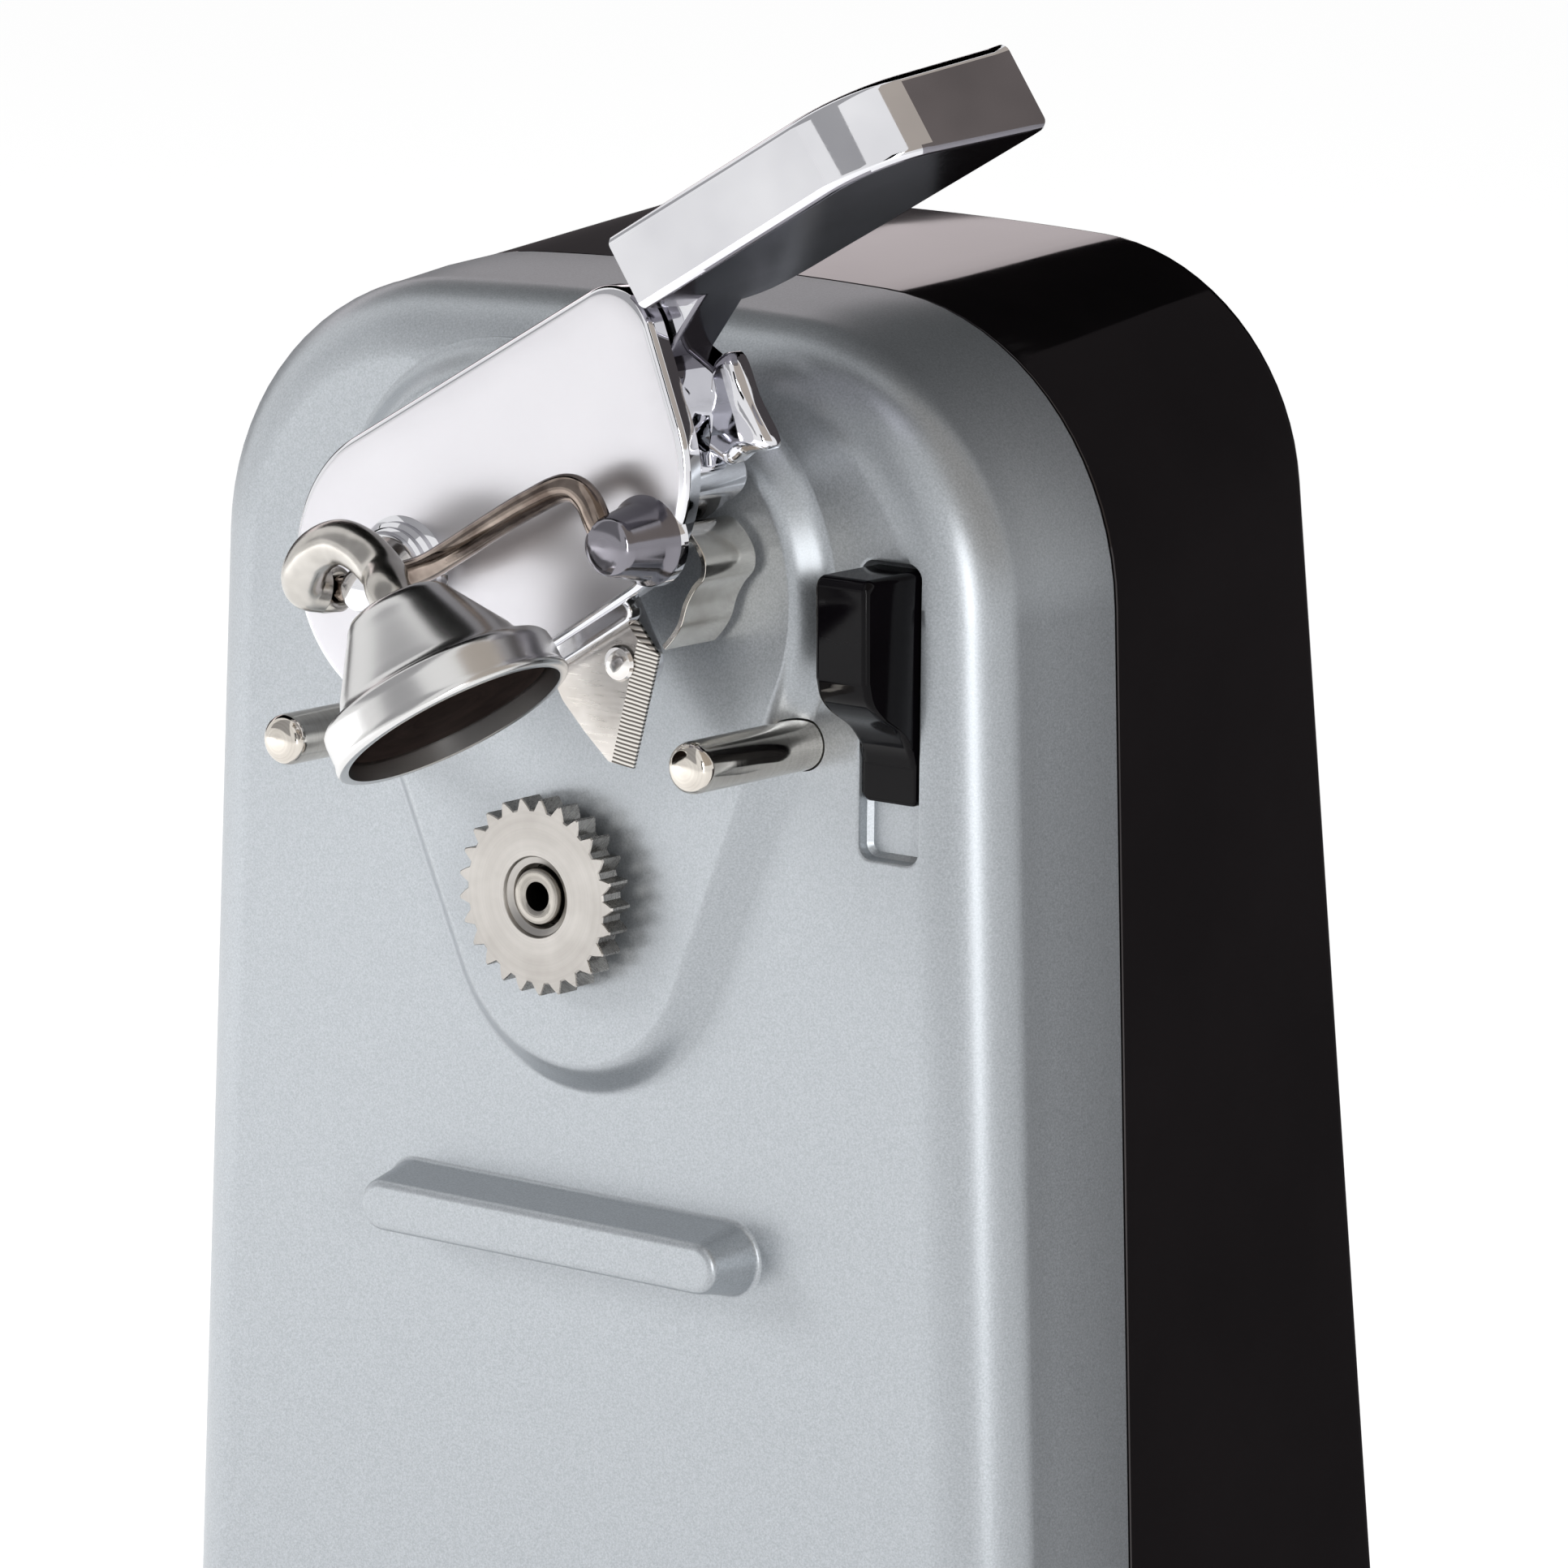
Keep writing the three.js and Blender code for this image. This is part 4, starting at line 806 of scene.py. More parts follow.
def on_back(x, y, z):
    lean = Matrix.Rotation(shell_lean, 3, "X")
    foot = Vector((body_middle, back_at(outlet_height), outlet_height))
    return on_body(*(lean @ Vector((x, y, z)) + foot))


combine(shell, "DIFFERENCE", solid("outlet", turned([(5.85, -9), (5.85, 6)]), on_back))
dress(shell, gloss_black, "housing", "rear_shell", sharp=38)

# %% [markdown]
# **The gland** is a rubber bush with a lip on each side of the wall. **The base** is a plate inside
# both walls, on four **feet**, held by four **screws**. The plate keeps its drawn shape and only gets
# its finish; the gland and feet are turned again with more sides and softer edges.

# %% Gland and feet
gland_section = [(2.2, 1.9), (6.4, 1.9), (6.85, 1.75), (7.1, 1.3), (7.1, 0.3), (5.5, 0.3), (5.5, -2.8),
                 (6.6, -2.8), (6.6, -3.9), (2.2, -3.9)]
gland = turned(gland_section, steps=48, closed=True)
dress(solid("gland_visual", gland, on_back), black_rubber, "housing", "cord_gland")
foot_side = [(0, 0), (5.6, 0), (6.3, 0.15), (6.8, 0.5), (7, 1.1), (7, 2.7), (3, 2.7), (3, 7), (0, 7)]


def on_table(x, y, z):
    return Vector((x, y, z)) * MM


for number in range(1, 5):
    node = f"foot_{number}"
    middle = middle_of(node) / MM
    foot = solid(f"{node}_visual", stood(foot_side, (middle.x, middle.y), 48), on_table)
    dress(foot, black_rubber, "housing", node)

# %% [markdown]
# **The slider** is a thumb block with a curved neck and a thin tongue below. Its side view is one
# smooth outline, and that outline is carried across the slider's width with rounded edges. The stem
# behind it reaches through the slot to the switch.

# %% Switch slider
def slider_side():
    low, face, foot = slider_low, -8.0, 0.2
    neck = [(foot, low + 3.6), (foot - 0.7, low + 5.4), (foot - 2.6, low + 7.6), (face + 2.4, low + 9.6),
            (face + 0.8, low + 11.2), (face + 0.15, low + 13.2)]
    top_edge = arc((face + 1.1, slider_top - 1.1), 1.1, 180, 90, 8)
    lower_edge = arc((foot + 0.4, low + 0.4), 0.4, 270, 180, 5)
    front = lower_edge + smooth_outline(neck, 24) + [(face, slider_top - 3)] + top_edge
    return [(1.5, low)] + front + [(1.5, slider_top)]


def slider_rows():
    side = slider_side()
    middle = (-3.0, (slider_low + slider_top) / 2)
    edge, width = 0.7, 6.5
    across = [(edge * (1 - math.cos(a)), edge * (1 - math.sin(a))) for a in quarter(6)]
    across += [(width - dx, by) for dx, by in reversed(across)]
    rows = []
    for dx, by in across:
        row = []
        for y, z in side:
            inward = by if y < 1.4 else 0
            row.append((slider_x - width / 2 + dx, y + inward * (y < middle[0] + 2.5),
                        z + by * (1 if z < middle[1] - 6 else -1 if z > slider_top - 2.5 else 0)))
        rows.append(row)
    return rows


slider = solid("slider_visual", skin(slider_rows()))
stem = solid("stem", prism(rounded_box((slider_x, slider_top - 6.5 - 4.7), (3.4, 9.4), 0.4), 1, 9))
combine(slider, "UNION", stem)
dress(slider, satin_black, "slider", "switch_slider", sharp=40)

# %% [markdown]
# ** Pins, bushing and shaft** are lathe work. A guide pin ends in a low dome with a rolled edge. The
# bushing stands a little out of the panel. The shaft's nose sits inside the wheel's hub with a centre
# hole left from turning, so bright and dark rings lie round each other there. The inside of the centre
# hole is painted near black, as painted shade.

# %% Finishes for turned steel on the body
wheel_steel = make_turned("wheel_steel", (0.36, 0.34, 0.32), (0.5, 0.48, 0.455), 0.28, 0.38, origin,
                          marks=2.2, depth=0.004)
hub_steel = make_turned("hub_steel", (0.22, 0.205, 0.185), (0.44, 0.415, 0.38), 0.12, 0.26, origin,
                        marks=6.0)
flank_steel = make_turned("flank_steel", (0.2, 0.19, 0.18), (0.5, 0.48, 0.45), 0.2, 0.36, origin,
                          axis=(1, 0, 0), marks=5.0, depth=0.02)
# Near-black steel for the inside of the shaft's centre hole: painted shade in the recess.
painted_shade_steel = make_turned("painted_shade_steel", (0.01, 0.009, 0.008), (0.03, 0.027, 0.024), 0.3, 0.5, origin)
bronze = make_turned("bronze", (0.36, 0.27, 0.17), (0.52, 0.4, 0.26), 0.25, 0.4, origin)
print("finishes:", wheel_steel.name, hub_steel.name, flank_steel.name, painted_shade_steel.name, bronze.name)

# %% Guide pins
pin_side = [(0, -18.7), (0.7, -18.68), (1.3, -18.6), (1.75, -18.45), (2.1, -18.2), (2.35, -17.9),
            (2.52, -17.5), (2.6, -17), (2.6, 5.7), (1.8, 5.7), (1.8, 8.5), (0, 8.5)]
for side in ("right", "left"):
    node = f"guide_pin_{side}"
    pin = solid(f"{node}_visual", turned(pin_side, on_face(middle_of(node))))
    metal = make_turned(f"pin_nickel_{side}", (0.55, 0.51, 0.46), (0.74, 0.7, 0.64), 0.05, 0.14,
                        middle_of(node), marks=2.5, depth=0.006)
    dress(pin, metal, "housing", node, sharp=50)

# %% Bushing and shaft
bush = [(4.3, -2.4), (5.3, -2.4), (5.75, -2.25), (6, -1.8), (6, 5.7), (4.3, 5.7)]
dress(solid("bushing_visual", turned(bush, closed=True)), bronze, "housing", "shaft_bushing")
shaft_side = [(0, -0.5), (1.25, -1.2), (1.3, -6.2), (1.5, -6.62), (1.85, -6.78), (2.45, -6.85),
              (2.75, -6.75), (2.9, -6.45), (2.9, -3.8), (4, -3.8), (4, 25.7), (2.5, 25.7), (2.5, 29),
              (0, 29)]
shaft = dress(solid("drive_shaft_visual", turned(shaft_side)), hub_steel, "drive", "drive_shaft", sharp=38)


# The inside of the centre hole gets the near-black painted shade.
def in_centre_hole(face):
    x, y, z = spot(face)
    return math.hypot(x, z) < 1.4 and -6.5 < y < 0


refinish(shaft, painted_shade_steel, in_centre_hole)

# %% [markdown]
# **The drive wheel** is milled: 25 saw-like teeth, each with a steep and a shallow flank. Its face is
# turned, its flanks show the cutter's marks and are darker, so the faces between the teeth get a
# second finish. A tiny chamfer runs round the teeth, and the hub is counterbored for the shaft's nose.

# %% Drive wheel
def toothed(corners, teeth, phase, less=0.0):
    outline = []
    for i in range(teeth):
        for radius, share in corners:
            a = math.radians((i + phase + share) * 360 / teeth)
            outline.append(((radius - less) * math.cos(a), (radius - less) * math.sin(a)))
    return outline


teeth, first_tooth = 25, 8.01
tooth = [(8.85, -0.42), (9.4, -0.26), (10, -0.06), (10, 0.05), (9.4, 0.18), (8.85, 0.3)]
wheel_rows = [(-7, 0.16), (-6.86, 0), (-4.24, 0), (-4.1, 0.16)]
wheel_skin = stacked(lambda less: toothed(tooth, teeth, first_tooth, less), wheel_rows)
hub_side = [(0, -8), (4.6, -8), (4.35, -7.1), (4.15, -6.95), (4.0, -6.6), (3.75, -6.45), (3.35, -6.3),
            (3.2, -6.1), (3.2, -3), (0, -3)]
wheel = combine(solid("drive_wheel_visual", wheel_skin), "DIFFERENCE", solid("bore", turned(hub_side)))
dress(wheel, wheel_steel, "drive", "drive_wheel", sharp=20, weighted=False)


def is_flank(face):
    x, y, z = spot(face)
    return abs(face.normal.y) < 0.5 and math.hypot(x, z) > 8


refinish(wheel, flank_steel, is_flank)

# %% [markdown]
# **The lever casting** is one polished and plated piece. It is put together from closed skins that the
# boolean joins: the front plate with a rounded edge, the handle, the boss and nose that the wire
# passes through, the cone that holds the wire's foot, the neck that runs to the handle, the small lug
# beside the neck, and the lumps behind the plate.

# %% Lever: plate, slabs and lug
plate_circles = [(-4.5, 0.4, 14.7), (20.5, -1.5, 14.1), (31.2, 6.2, 5.5)]
plate_front, plate_edge = -15.5, 0.95
blade_rivet_at, spring_rivet_at, cup_at = (12.4, -19.5), (23, -7.6), (5.6, -31)


def slab(circles, y0, y1, edge=0.45, step=6.0):
    rows = rounding(y0, 0, edge, 4)[::-1] + rounding(y1, 0, -edge, 4)
    return stacked(lambda grow: hull(circles, grow, step), rows)


plate_rows = [(-12.8, -0.3), (-13.1, 0)] + rounding(plate_front, 0, plate_edge, 8)
plate_rows += [(plate_front - 0.03, -1.9), (plate_front - 0.05, -3.5)]
casting = solid("lever_visual", stacked(lambda grow: hull(plate_circles, grow, 3), plate_rows), on_lever)
slabs = [
    slab([(6, 4, 8), (27, 1, 7.5)], -13.3, -7),
    slab([(28, 5, 4.6), (44, 8.4, 2.6)], -12.4, -5.5),
    slab([(31, 2, 4), (35.6, -3, 2)], -9.5, -5.6),
    slab([(22.4, -8.3, 2.4), (29, -8.3, 2.4), (27, 0, 4)], -13.3, -4.6),
    slab([(*blade_rivet_at, 2.6), (11, -8, 5), (10, -2, 4)], -10.8, -8.7, 0.3),
    slab([(4, -15.2, 1.2), (17, -16, 1.2)], -14.7, -12.7, 0.4),
    slab([(0, 0, 9), (0.01, 0, 9)], -13.3, -3.4),
]
for shape in slabs:
    combine(casting, "UNION", solid("slab", shape, on_lever))
lug_corners = [(31, -6.9), (32.5, -9), (34.9, -9.1), (37.9, -10), (38.4, -4.9), (38.9, -0.2),
               (37.1, 0.4), (35.3, -0.9), (33.2, -2.9), (31.8, -5.7), (31, -6.9)]
lug_outline = smooth_outline(lug_corners, 60)[:-1]


def shrunk(outline, by):
    middle = Vector((sum(p[0] for p in outline), sum(p[1] for p in outline))) / len(outline)
    spokes = [Vector(p) - middle for p in outline]
    return [tuple(middle + spoke * (1 - by / spoke.length)) for spoke in spokes]


lug_rows = [(-9.6, 1.5), (-9.4, 0.9), (-9, 0.35), (-8.4, 0), (-7.1, 0), (-6.7, 0.4), (-5.8, 1.6)]
lug_skin = stacked(lambda less: shrunk(lug_outline, less), lug_rows)
combine(casting, "UNION", solid("lug", lug_skin, on_lever))
print("plate and slabs:", len(casting.data.polygons), "faces")

# %% [markdown]
# **The handle** is drawn from above, in u and y: a front face, a turn of about 10 mm, a slanting side
# and a wavy back edge. The same plan is raised along w with a small quarter round top and bottom, and
# both slope down toward the end.

# %% Lever: handle
def handle_shape():
    front, edge = -18.0, 0.9
    corner, radius, end = Vector((64, front + 10.5)), 10.5, Vector((79, -0.2))
    to_end = end - corner
    tangent = math.degrees(math.atan2(to_end.y, to_end.x) - math.acos(radius / to_end.length))
    plan = [(38.6, front), (47, front), (56, front)] + arc(corner, radius, -90, tangent, 20)
    plan += [(77.6, -1.9), (78.4, -0.8), (77.9, -0.3)]
    plan += smooth_outline([(77, -0.25), (61, -0.8), (52, -1.6), (42, -3), (38.8, -6)], 16)

    def top(u, y):
        return 13.7 - 0.085 * (u - 38.6)

    def low(u, y):
        return top(u, y) - 8 - 0.07 * (y - front)

    def row(inset, height, lift):
        return [(u, y, height(u, y) + lift) for u, y in shrunk(plan, inset)]

    edge_rows = rounding(0, 0, edge, 6)
    rows = [row(inset, top, lift) for inset, lift in edge_rows]
    rows += [row(inset, low, -lift) for inset, lift in reversed(edge_rows)]
    return skin(rows)


combine(casting, "UNION", solid("handle", handle_shape(), on_lever))
print("with the handle:", len(casting.data.polygons), "faces")

# %% [markdown]
# **The wire and its bosses.** The wire rises out of the cone, turns left and runs on through the post,
# where the magnet's hook hangs on it. The casting is bored along the same curve with a little room.
# The front of the plate gets its softer finish here, and the cone, the neck and the handle's underside
# get the darker one, which is painted shade and painted dark reflection.

# %% Lever: bosses, bores and finishes
post_at, cone_at, hook_eye = (-4.7, 0.3), (24.4, -12), (-9.2, -21.2, 1.825)
wire_radius, wire_bore = 1.4, 1.7
wire_points = [
    (23.4, -19.7, -11.8), (23.7, -20, -9.3), (23.9, -20, -7), (23.4, -20.1, -5.3), (22.2, -20.3, -4.3),
    (17.5, -20.6, -3.5), (12.4, -20.9, -3.1), (6.9, -21.2, -2.8), (3, -21.2, -2.4), (-1, -21.2, -1.3),
    (-4.7, -21.2, -0.2), (-6.7, -21.2, 0.7), hook_eye, (-11.7, -21.2, 2.95),
]
post = [(0, -14.5), (6.4, -14.5), (6.1, -15.4), (5.6, -15.75), (5.35, -16), (5.3, -16.6), (5.05, -16.85),
        (4.9, -17), (4.9, -17.6), (4.75, -17.8), (4.6, -17.95), (4.6, -18.2), (4.45, -18.5), (4.15, -18.6),
        (0, -18.6)]
nose_bar = [(0, -15), (2.2, -15), (2.2, -22.7), (2.05, -23), (1.7, -23.2), (0, -23.2)]
cone = [(0, -14.5), (4.6, -14.5), (4.5, -15.5), (4.3, -15.8), (4, -16.4), (3.75, -17), (3.05, -20.6),
        (2.85, -21.2), (2.5, -21.6), (1.9, -21.85), (1, -21.95), (0, -22)]
bosses = [turned(post, post_at), turned(nose_bar, (-4.7, -0.5)), turned(cone, cone_at)]
combine(casting, "UNION", *[solid("boss", shape, on_lever) for shape in bosses])
bores = [
    rod(wire_points, wire_bore),
    turned([(3.8, -11.3), (3.8, -2.4)]),
    turned([(1.3, -13), (1.3, -8)], blade_rivet_at),
    stood([(1.5, -12), (1.5, -7.5)], spring_rivet_at),
]
combine(casting, "DIFFERENCE", *[solid("bore", shape, on_lever) for shape in bores])
dress(casting, chrome, "lever_arm", "lever", sharp=30)
cone_foot = on_lever(cone_at[0], 0, cone_at[1])
lever_pivot = on_lever(0, 0, 0)


def on_plate_front(face):
    return face.normal.y < -0.99 and abs(spot(face).y + 15.53) < 0.06


# Faces on the cone, on the neck and under the handle are painted darker, as painted shade and painted dark
# reflection.
def in_shade(face):
    away, depth = face.center - cone_foot, spot(face).y
    on_cone = depth < -15.6 and math.hypot(away.x, away.z) < 5 * MM
    along_up = (face.center - lever_pivot).dot(lever_up) / MM
    on_neck = depth > -12.8 and 0.6 < along_up < 6.2
    under_handle = face.normal.z < -0.5 and face.center.z > origin.z + 58 * MM
    return on_cone or on_neck or under_handle


refinish(casting, plate_chrome, on_plate_front)
refinish(casting, painted_shade_chrome, in_shade)

# %% Magnet wire
wire_nickel = make_plating("wire_nickel", (0.13, 0.1, 0.085), (0.36, 0.3, 0.26), 0.07, 0.18, 0.9, 0.08)
magnet_wire = solid("magnet_wire_visual", rod(wire_points, wire_radius), on_lever)
dress(magnet_wire, wire_nickel, "lever_arm", "magnet_wire", sharp=60)

# %% [markdown]
# **The hook** is a thick bent rod. Its eye turns on the wire, the rod arches over the front of the post
# and its foot drops into the top of the cup. The eye is bored after it is joined to the rod.

# %% Hook
def along_wire(radius, length, sides=48):
    slope = math.atan(-0.45)
    way = Vector((math.cos(slope), 0, math.sin(slope)))
    side = Vector((0, 1, 0))
    edge, half = min(0.3, radius * 0.15), length / 2
    places = ((-half, edge), (-half + edge, 0), (half - edge, 0), (half, edge))
    eye = Vector(hook_eye)
    return skin([ring(eye + way * along, side, way.cross(side), radius - less, sides)
                 for along, less in places])


hook_points = [(-9.2, -22.1, 1.82), (-9.5, -23.8, 2.6), (-8.3, -24.9, 3.5), (-5.2, -25.6, 4.3),
               (-1.5, -26, 3.6), (1.3, -26.7, 1.1), (3.4, -27.9, -2.4), (5, -30.2, -4.8),
               (*cup_at, -6.6), (*cup_at, -8.4)]
hook = solid("magnet_hook_visual", rod(hook_points, 2.25, 110, 32), on_lever)
combine(hook, "UNION", solid("eye", along_wire(2.3, 2.6), on_lever))
combine(hook, "DIFFERENCE", solid("bore", along_wire(wire_bore, 12), on_lever))
hook_steel = make_plating("hook_steel", (0.44, 0.42, 0.39), (0.6, 0.575, 0.54), 0.19, 0.25, 1.2, 0.02)
dress(hook, hook_steel, "magnet", "magnet_hook", sharp=50)

# %% [markdown]
# **The magnet's cup** is spun from sheet: a straight rim, a small step and a cone that ends in a neck
# for the hook. It is one closed profile, outside and inside, turned about the cup's own axis. The
# **magnet** inside is a dark ferrite disc.

# %% Cup and magnet
mouth = -19.9
cup_axis = on_lever(*cup_at, 0)
cup_out = [(11.3, 0), (11.9, -0.05), (12.2, 0.1), (12.35, 0.4), (12.3, 0.8), (12.15, 1.2), (12.1, 3.3),
           (12, 4), (11.7, 4.4), (11.2, 4.65), (10.4, 4.8), (9.9, 5.1), (9.5, 5.7), (9.1, 6.6),
           (6.6, 10.6), (5.9, 11.7), (5.4, 12.6), (4.8, 13.2), (4.1, 13.5), (2.8, 13.5)]
cup_in = [(2.8, 12.6), (3.8, 12.6), (4.6, 12), (5.4, 10.4), (8, 6.2), (8.5, 4.6), (9.2, 4.1),
          (11, 3.8), (11.2, 3.4)]


def above_mouth(name, profile, closed=False):
    raised = [(radius, mouth + height) for radius, height in profile]
    return solid(name, stood(raised, cup_at, 96, closed), on_lever)


cup = above_mouth("magnet_cup_visual", cup_out + cup_in, closed=True)
cup_steel = make_turned("cup_steel", (0.68, 0.675, 0.67), (0.7, 0.695, 0.69), 0.225, 0.235, cup_axis,
                        axis=lever_up, marks=1.6, depth=0.0002)
dress(cup, cup_steel, "magnet", "magnet_cup", sharp=50)
disc_edge = [(0, 1.6), (6, 1.6), (10.3, 1.62), (10.7, 1.75), (10.8, 2.1), (10.8, 3.7), (0, 3.7)]
disc = above_mouth("magnet_disc_visual", disc_edge)
ferrite = make_turned("ferrite", (0.014, 0.009, 0.008), (0.034, 0.024, 0.021), 0.5, 0.65, cup_axis,
                      axis=lever_up, marks=1.5, depth=0.01)
for socket, value in (("Metallic", 0), ("Specular IOR Level", 0.08), ("IOR", 1.06)):
    ferrite.node_tree.nodes["Principled BSDF"].inputs[socket].default_value = value
dress(disc, ferrite, "magnet", "magnet_disc")

# %% [markdown]
# **The blade** is ground sheet steel. Its front is satin, and its right edge is ground back to a bright
# slope with the wheel's marks across it, so those faces get their own finish. A **rivet** with a
# polished, slightly domed head holds it.

# %% Blade and its rivet
wave_scale = 314  # a wave texture of scale 314 draws bands one millimetre apart
blade_steel = make_plating("blade_steel", (0.6, 0.565, 0.53), (0.74, 0.71, 0.68), 0.24, 0.4, 1.2, 0.02)
ground_steel, tree, shader = start_material("ground_steel", (0.5, 0.48, 0.45), 1, 0.2)
place = add_node(tree, "TexCoord")
turn_back = add_node(tree, "VectorRotate", rotation_type="Y_AXIS", Angle=-0.263)
stripes = add_node(tree, "TexWave", bands_direction="Z", Scale=wave_scale / 0.42, Distortion=1.6,
                   Detail=2.0, Detail_Scale=0.4)
wire(tree, place.outputs["Object"], turn_back.inputs["Vector"])
wire(tree, turn_back.outputs["Vector"], stripes.inputs["Vector"])
vary_color(tree, shader, stripes.outputs["Fac"], (0.1, 0.09, 0.08), (0.72, 0.69, 0.65), 0.15, 0.75)
vary_roughness(tree, shader, stripes.outputs["Fac"], 0.2, 0.34)
raise_relief(tree, shader, stripes.outputs["Fac"], 0.05, 0.6)


def blade_shape():
    outline = [(4.5, -9.8), (3.7, -18.9), (4.4, -22.8), (5.4, -26.7), (7.1, -28.6), (16.3, -20.9),
               (15.7, -15.5), (14.6, -9.8)]
    slope = [(0, 0), (0, 0), (0, 0), (0, 0), (-1.4, 1.57), (-0.75, 2.3), (-0.6, 0), (-0.6, 0)]
    face = [(u + du, -12.3, w + dw) for (u, w), (du, dw) in zip(outline, slope)]
    lip = [(u + du * 0.97, -12.26, w + dw * 0.97) for (u, w), (du, dw) in zip(outline, slope)]
    return skin([face, lip, [(u, -11.45, w) for u, w in outline], [(u, -11.1, w) for u, w in outline]])


blade = solid("blade_visual", blade_shape(), on_lever)
combine(blade, "DIFFERENCE", solid("bore", turned([(1.3, -13), (1.3, -10)], blade_rivet_at), on_lever))
dress(blade, blade_steel, "lever_arm", "blade", sharp=18, weighted=False)
toward_edge = Vector((0.966, 0, -0.26))
rivet_middle = on_lever(blade_rivet_at[0], -11.7, blade_rivet_at[1])


def is_ground(face):
    return face.normal.dot(toward_edge) > 0.25 and (face.center - rivet_middle).length > 2 * MM


refinish(blade, ground_steel, is_ground)
rivet_side = [(0, -13.3), (0.7, -13.27), (1.2, -13.15), (1.6, -12.95), (1.8, -12.6), (1, -12.6),
              (1, -8.9), (0, -8.9)]
rivet_steel = make_turned("rivet_steel", (0.62, 0.6, 0.58), (0.84, 0.82, 0.8), 0.08, 0.18,
                          on_lever(blade_rivet_at[0], 0, blade_rivet_at[1]))
blade_rivet = solid("blade_rivet_visual", turned(rivet_side, blade_rivet_at, 48), on_lever)
dress(blade_rivet, rivet_steel, "lever_arm", "blade_rivet")

# %% [markdown]
# **The leaf spring** steers the can's rim. It is a strip of bright spring steel, folded over at the top
# and waved below. The strip's side view is one curve with an even thickness on both sides of it.

# %% Leaf spring and its rivet
spring_points = [(19, 0, -11.3), (24.6, 0, -11.3), (26, 0, -12.1), (26.6, 0, -14), (26.5, 0, -16),
                 (25.6, 0, -17.2), (24, 0, -17.6), (22.2, 0, -18.4), (20.4, 0, -19.7),
                 (18.8, 0, -20.3), (17.4, 0, -20.6)]


def spring_shape():
    path = curve_points(spring_points, 72)
    ways = directions(path)

    def outline(half):
        one = [(p.x + t.z * half, p.z - t.x * half) for p, t in zip(path, ways)]
        other = [(p.x - t.z * half, p.z + t.x * half) for p, t in zip(path, ways)]
        return one + other[::-1]

    return stacked(outline, [(-11.6, 0.22), (-11.5, 0.3), (-3.9, 0.3), (-3.8, 0.22)])


spring = solid("leaf_spring_visual", spring_shape(), on_lever)
spring_hole = stood([(1.5, -13), (1.5, -10)], spring_rivet_at, 48)
combine(spring, "DIFFERENCE", solid("bore", spring_hole, on_lever))
spring_steel = make_plating("spring_steel", (0.6, 0.57, 0.52), (0.8, 0.77, 0.72), 0.09, 0.2, 1.5, 0.04)
dress(spring, spring_steel, "lever_arm", "leaf_spring", sharp=40)
rivet_side = [(0, -12.9), (0.8, -12.88), (1.4, -12.75), (1.9, -12.4), (2.1, -11.9), (1.2, -11.9),
              (1.2, -8), (0, -8)]
spring_rivet = solid("spring_rivet_visual", stood(rivet_side, spring_rivet_at, 48), on_lever)
dress(spring_rivet, rivet_steel, "lever_arm", "spring_rivet")

# %% [markdown]
# **The works inside.** The gears, the frame, the motor and the switch keep their drawn shapes. They
# only get finishes, by their slots: zinc-plated steel, turned steel, moulded nylon, a wound copper
# coil and a stack of thin steel sheets. Bands half a millimetre apart draw the sheets and the wire.

# %% Finishes for the works
def make_banded(name, low, high, metallic, smooth, rough, band_mm, direction, depth):
    material, tree, shader = start_material(name, high, metallic, rough)
    place = add_node(tree, "TexCoord")
    bands = add_node(tree, "TexWave", wave_type="BANDS", bands_direction=direction,
                     Scale=wave_scale / band_mm, Distortion=0.4, Detail=2.0)
    wire(tree, place.outputs["Object"], bands.inputs["Vector"])
    vary_color(tree, shader, bands.outputs["Fac"], low, high, 0.1, 0.7)
    surface = place_group(tree, grain, Size_mm=0.8, Patch_mm=9.0)
    vary_roughness(tree, shader, surface.outputs["Patches"], smooth, rough)
    raise_relief(tree, shader, bands.outputs["Fac"], depth, 0.5)
    return material


def make_cast(name, low, high, smooth, rough, size, depth):
    material, tree, shader = start_material(name, high, 1, rough)
    surface = place_group(tree, grain, Size_mm=size, Patch_mm=size * 12)
    vary_color(tree, shader, surface.outputs["Patches"], low, high)
    vary_roughness(tree, shader, surface.outputs["Grain"], smooth, rough)
    raise_relief(tree, shader, surface.outputs["Grain"], depth, 0.3)
    return material


zinc_plate = make_cast("zinc_plate", (0.42, 0.44, 0.46), (0.6, 0.62, 0.63), 0.26, 0.44, 0.6, 0.02)
works_steel = make_cast("works_steel", (0.46, 0.44, 0.42), (0.64, 0.62, 0.59), 0.22, 0.38, 0.4, 0.01)
sheets = make_banded("sheets", (0.12, 0.115, 0.11), (0.4, 0.38, 0.36), 1, 0.35, 0.55, 0.5, "Y", 0.08)
winding = make_banded("winding", (0.24, 0.07, 0.025), (0.62, 0.24, 0.1), 1, 0.2, 0.38, 0.6, "X", 0.25)

# %% Give the drawn pieces their finishes
finishes = {"zinc": zinc_plate, "steel": works_steel, "nylon": nylon, "black_plastic": base_black,
            "copper": winding}
replaced = {"front_cover", "rear_shell", "switch_slider", "drive_wheel", "drive_shaft", "blade",
            "blade_rivet", "spring_rivet"}
dressed = 0
for name, slot in slots.items():
    if slot not in finishes or name in replaced:
        continue
    metal = sheets if name in ("stator_core", "rotor_core") else finishes[slot]
    for holder in frame["nodes"][name].material_slots:
        holder.material = metal
        dressed += 1
print("drawn pieces with new finishes:", dressed)

# %% [markdown]
# **The studio.** The floor is plain and pale. To a camera it should look white, yet keep the soft
# shadow under the opener, so its material adds a little glow of its own for camera, mirror and glass
# rays only. The light that falls on the opener isn't changed by that.

# %% Floor
def stage_sheet(name, corners, material):
    mesh = bpy.data.meshes.new(name)
    mesh.from_pydata(corners, [], [tuple(range(len(corners)))])
    sheet = bpy.data.objects.new(name, mesh)
    sheet.data.materials.append(material)
    scene.collection.objects.link(sheet)
    return sheet


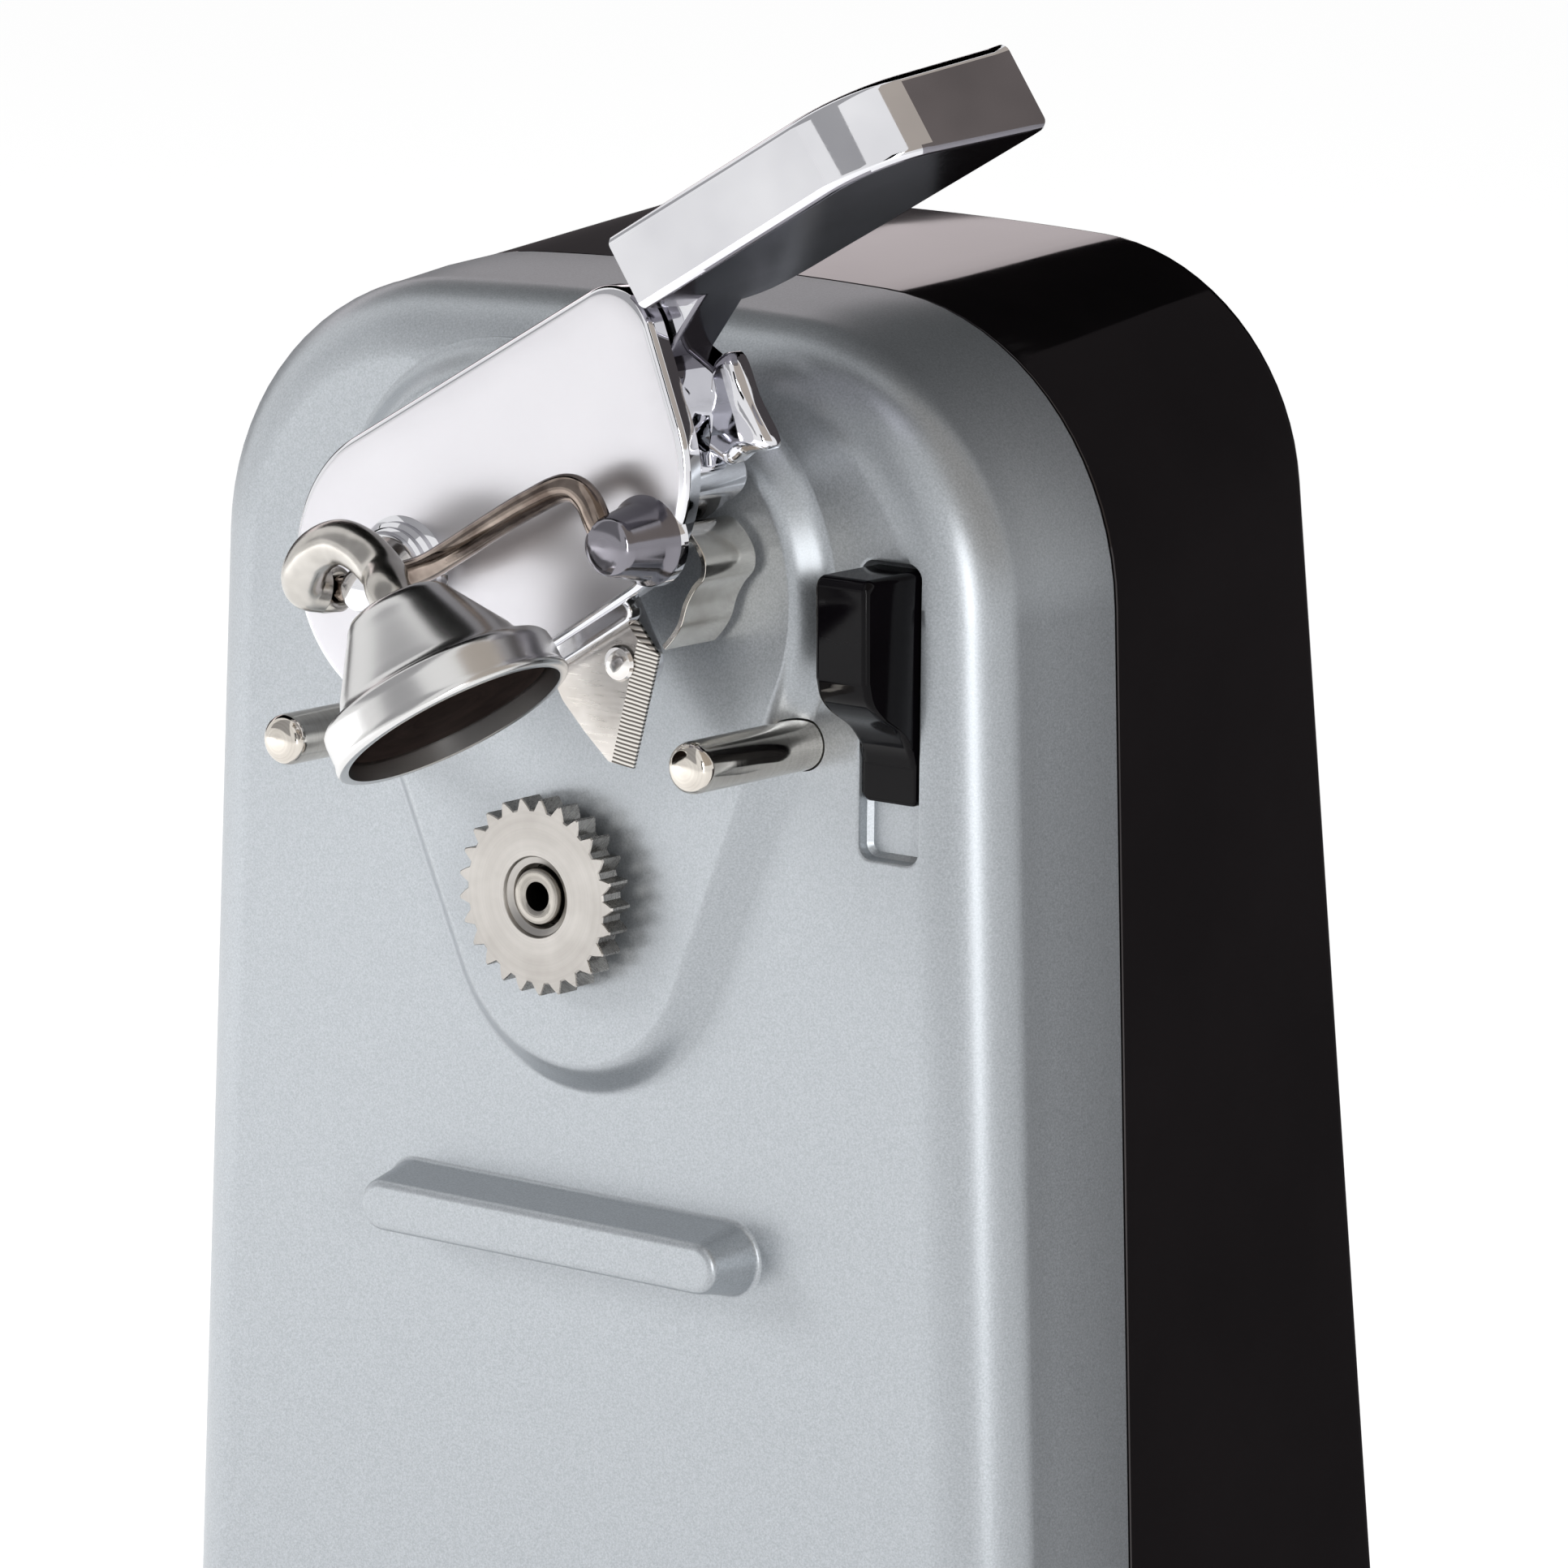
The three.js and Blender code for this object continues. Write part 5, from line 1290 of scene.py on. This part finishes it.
def seen_directly(tree):
    path = add_node(tree, "LightPath")
    total = path.outputs["Is Camera Ray"]
    for label in ("Is Glossy Ray", "Is Transmission Ray"):
        either = add_node(tree, "Math", operation="MAXIMUM")
        wire(tree, total, either.inputs[0])
        wire(tree, path.outputs[label], either.inputs[1])
        total = either.outputs[0]
    return total


pale, tree, shader = start_material("pale_floor", (0.8, 0.8, 0.8), 0, 0.9)
shader.inputs["Specular IOR Level"].default_value = 0
wire(tree, seen_directly(tree), shader.inputs["Emission Strength"])
shader.inputs["Emission Color"].default_value = (0.84, 0.84, 0.84, 1)
floor = stage_sheet("floor", [(-4, -4, 0), (4, -4, 0), (4, 4, 0), (-4, 4, 0)], pale)
print("floor:", floor.name)

# %% [markdown]
# The world is the same white to cameras and mirrors, and a dimmer white as a light.

# %% World
world = bpy.data.worlds.new("studio")
scene.world = world
world.use_nodes = True
tree = world.node_tree
seen = tree.nodes["Background"]
seen.inputs["Color"].default_value = (1, 1, 1, 1)
seen.inputs["Strength"].default_value = 1
lighting = add_node(tree, "Background")
lighting.inputs["Color"].default_value = (1, 1, 1, 1)
lighting.inputs["Strength"].default_value = 0.165
choose = add_node(tree, "MixShader")
wire(tree, seen_directly(tree), choose.inputs["Fac"])
wire(tree, lighting.outputs[0], choose.inputs[1])
wire(tree, seen.outputs[0], choose.inputs[2])
wire(tree, choose.outputs[0], tree.nodes["World Output"].inputs["Surface"])
print("world:", world.name)

# %% [markdown]
# Shiny metal looks like metal because it mirrors something dark next to something light. A studio sets
# up cards for that. These stand far off in a ring, and only mirror rays see them. Each card covers a
# span of compass angles, counted from straight behind, and a span of heights, both in degrees. The
# floor's card lies just over the table behind the opener, from near its base out to the ring.

# %% Cards
card_distance, clear_of_table, base_reach = 3.0, 0.002, 0.14
lowest = clear_of_table - origin.z
steps = 16


def card_edge(height):
    if height == "base":
        return base_reach, lowest
    return card_distance, max(math.tan(math.radians(height)) * card_distance, lowest)


def card(name, turns, heights, color=(0, 0, 0)):
    paper, tree, shader = start_material(name, (0, 0, 0), 0, 1)
    shader.inputs["Specular IOR Level"].default_value = 0
    shader.inputs["Emission Color"].default_value = (*color, 1)
    shader.inputs["Emission Strength"].default_value = 1 if any(color) else 0
    verts = []
    for i in range(steps + 1):
        turn = math.radians(turns[0] + (turns[1] - turns[0]) * i / steps)
        for away, rise in map(card_edge, heights):
            verts.append(origin + Vector((away * math.sin(turn), away * math.cos(turn), rise)))
    faces = [(2 * i, 2 * i + 2, 2 * i + 3, 2 * i + 1) for i in range(steps)]
    mesh = bpy.data.meshes.new(name)
    mesh.from_pydata(verts, [], faces)
    made = bpy.data.objects.new(name, mesh)
    made.data.materials.append(paper)
    scene.collection.objects.link(made)
    for kind in ("camera", "diffuse", "shadow", "transmission", "volume_scatter"):
        setattr(made, "visible_" + kind, False)


warm_grey, cool_grey, dim = (0.5, 0.45, 0.4), (0.42, 0.42, 0.43), (0.07, 0.063, 0.066)
card("card_floor", (-6, 60), ("base", -3.2), dim)
card("card_behind_low", (-30, 48), (-3.2, -1), dim)
card("card_behind", (2, 48), (-1, 46), dim)
card("card_behind_left", (-30, 2), (-1, 46))
card("card_behind_high", (-30, 48), (46, 85))
card("card_left_low", (-80, -30), (-3.2, 16.5), dim)
card("card_left_high", (-84, -30), (25, 85))
card("card_crown", (-80, -30), (16.5, 25), (1.3, 1.18, 1.2))
card("card_front_left", (-190, -112), (9, 85), cool_grey)
card("card_right", (56, 122), (12, 78), warm_grey)
card("card_camera", (127, 139), (-2.5, 30))

# %% [markdown]
# Two soft boxes light the front: a broad one from the front left, which the metal doesn't mirror, and
# a tall narrow one from the front right that draws the bright line down the cover's rounded edge.

# %% Lamps
def soft_box(name, at, look, size, watts):
    lamp = bpy.data.lights.new(name, "AREA")
    lamp.shape = "RECTANGLE"
    lamp.size, lamp.size_y = size
    lamp.energy = watts
    made = bpy.data.objects.new(name, lamp)
    made.location = at
    made.rotation_euler = (Vector(look) - Vector(at)).to_track_quat("-Z", "Y").to_euler()
    scene.collection.objects.link(made)
    return made


soft_box("key", (-1.05, -0.75, 0.6), origin, (0.45, 0.45), 14.5).visible_glossy = False
soft_box("edge_strip", (0.85, -0.62, 0.2), origin, (0.12, 0.8), 4)
print("lamps: key, edge_strip")
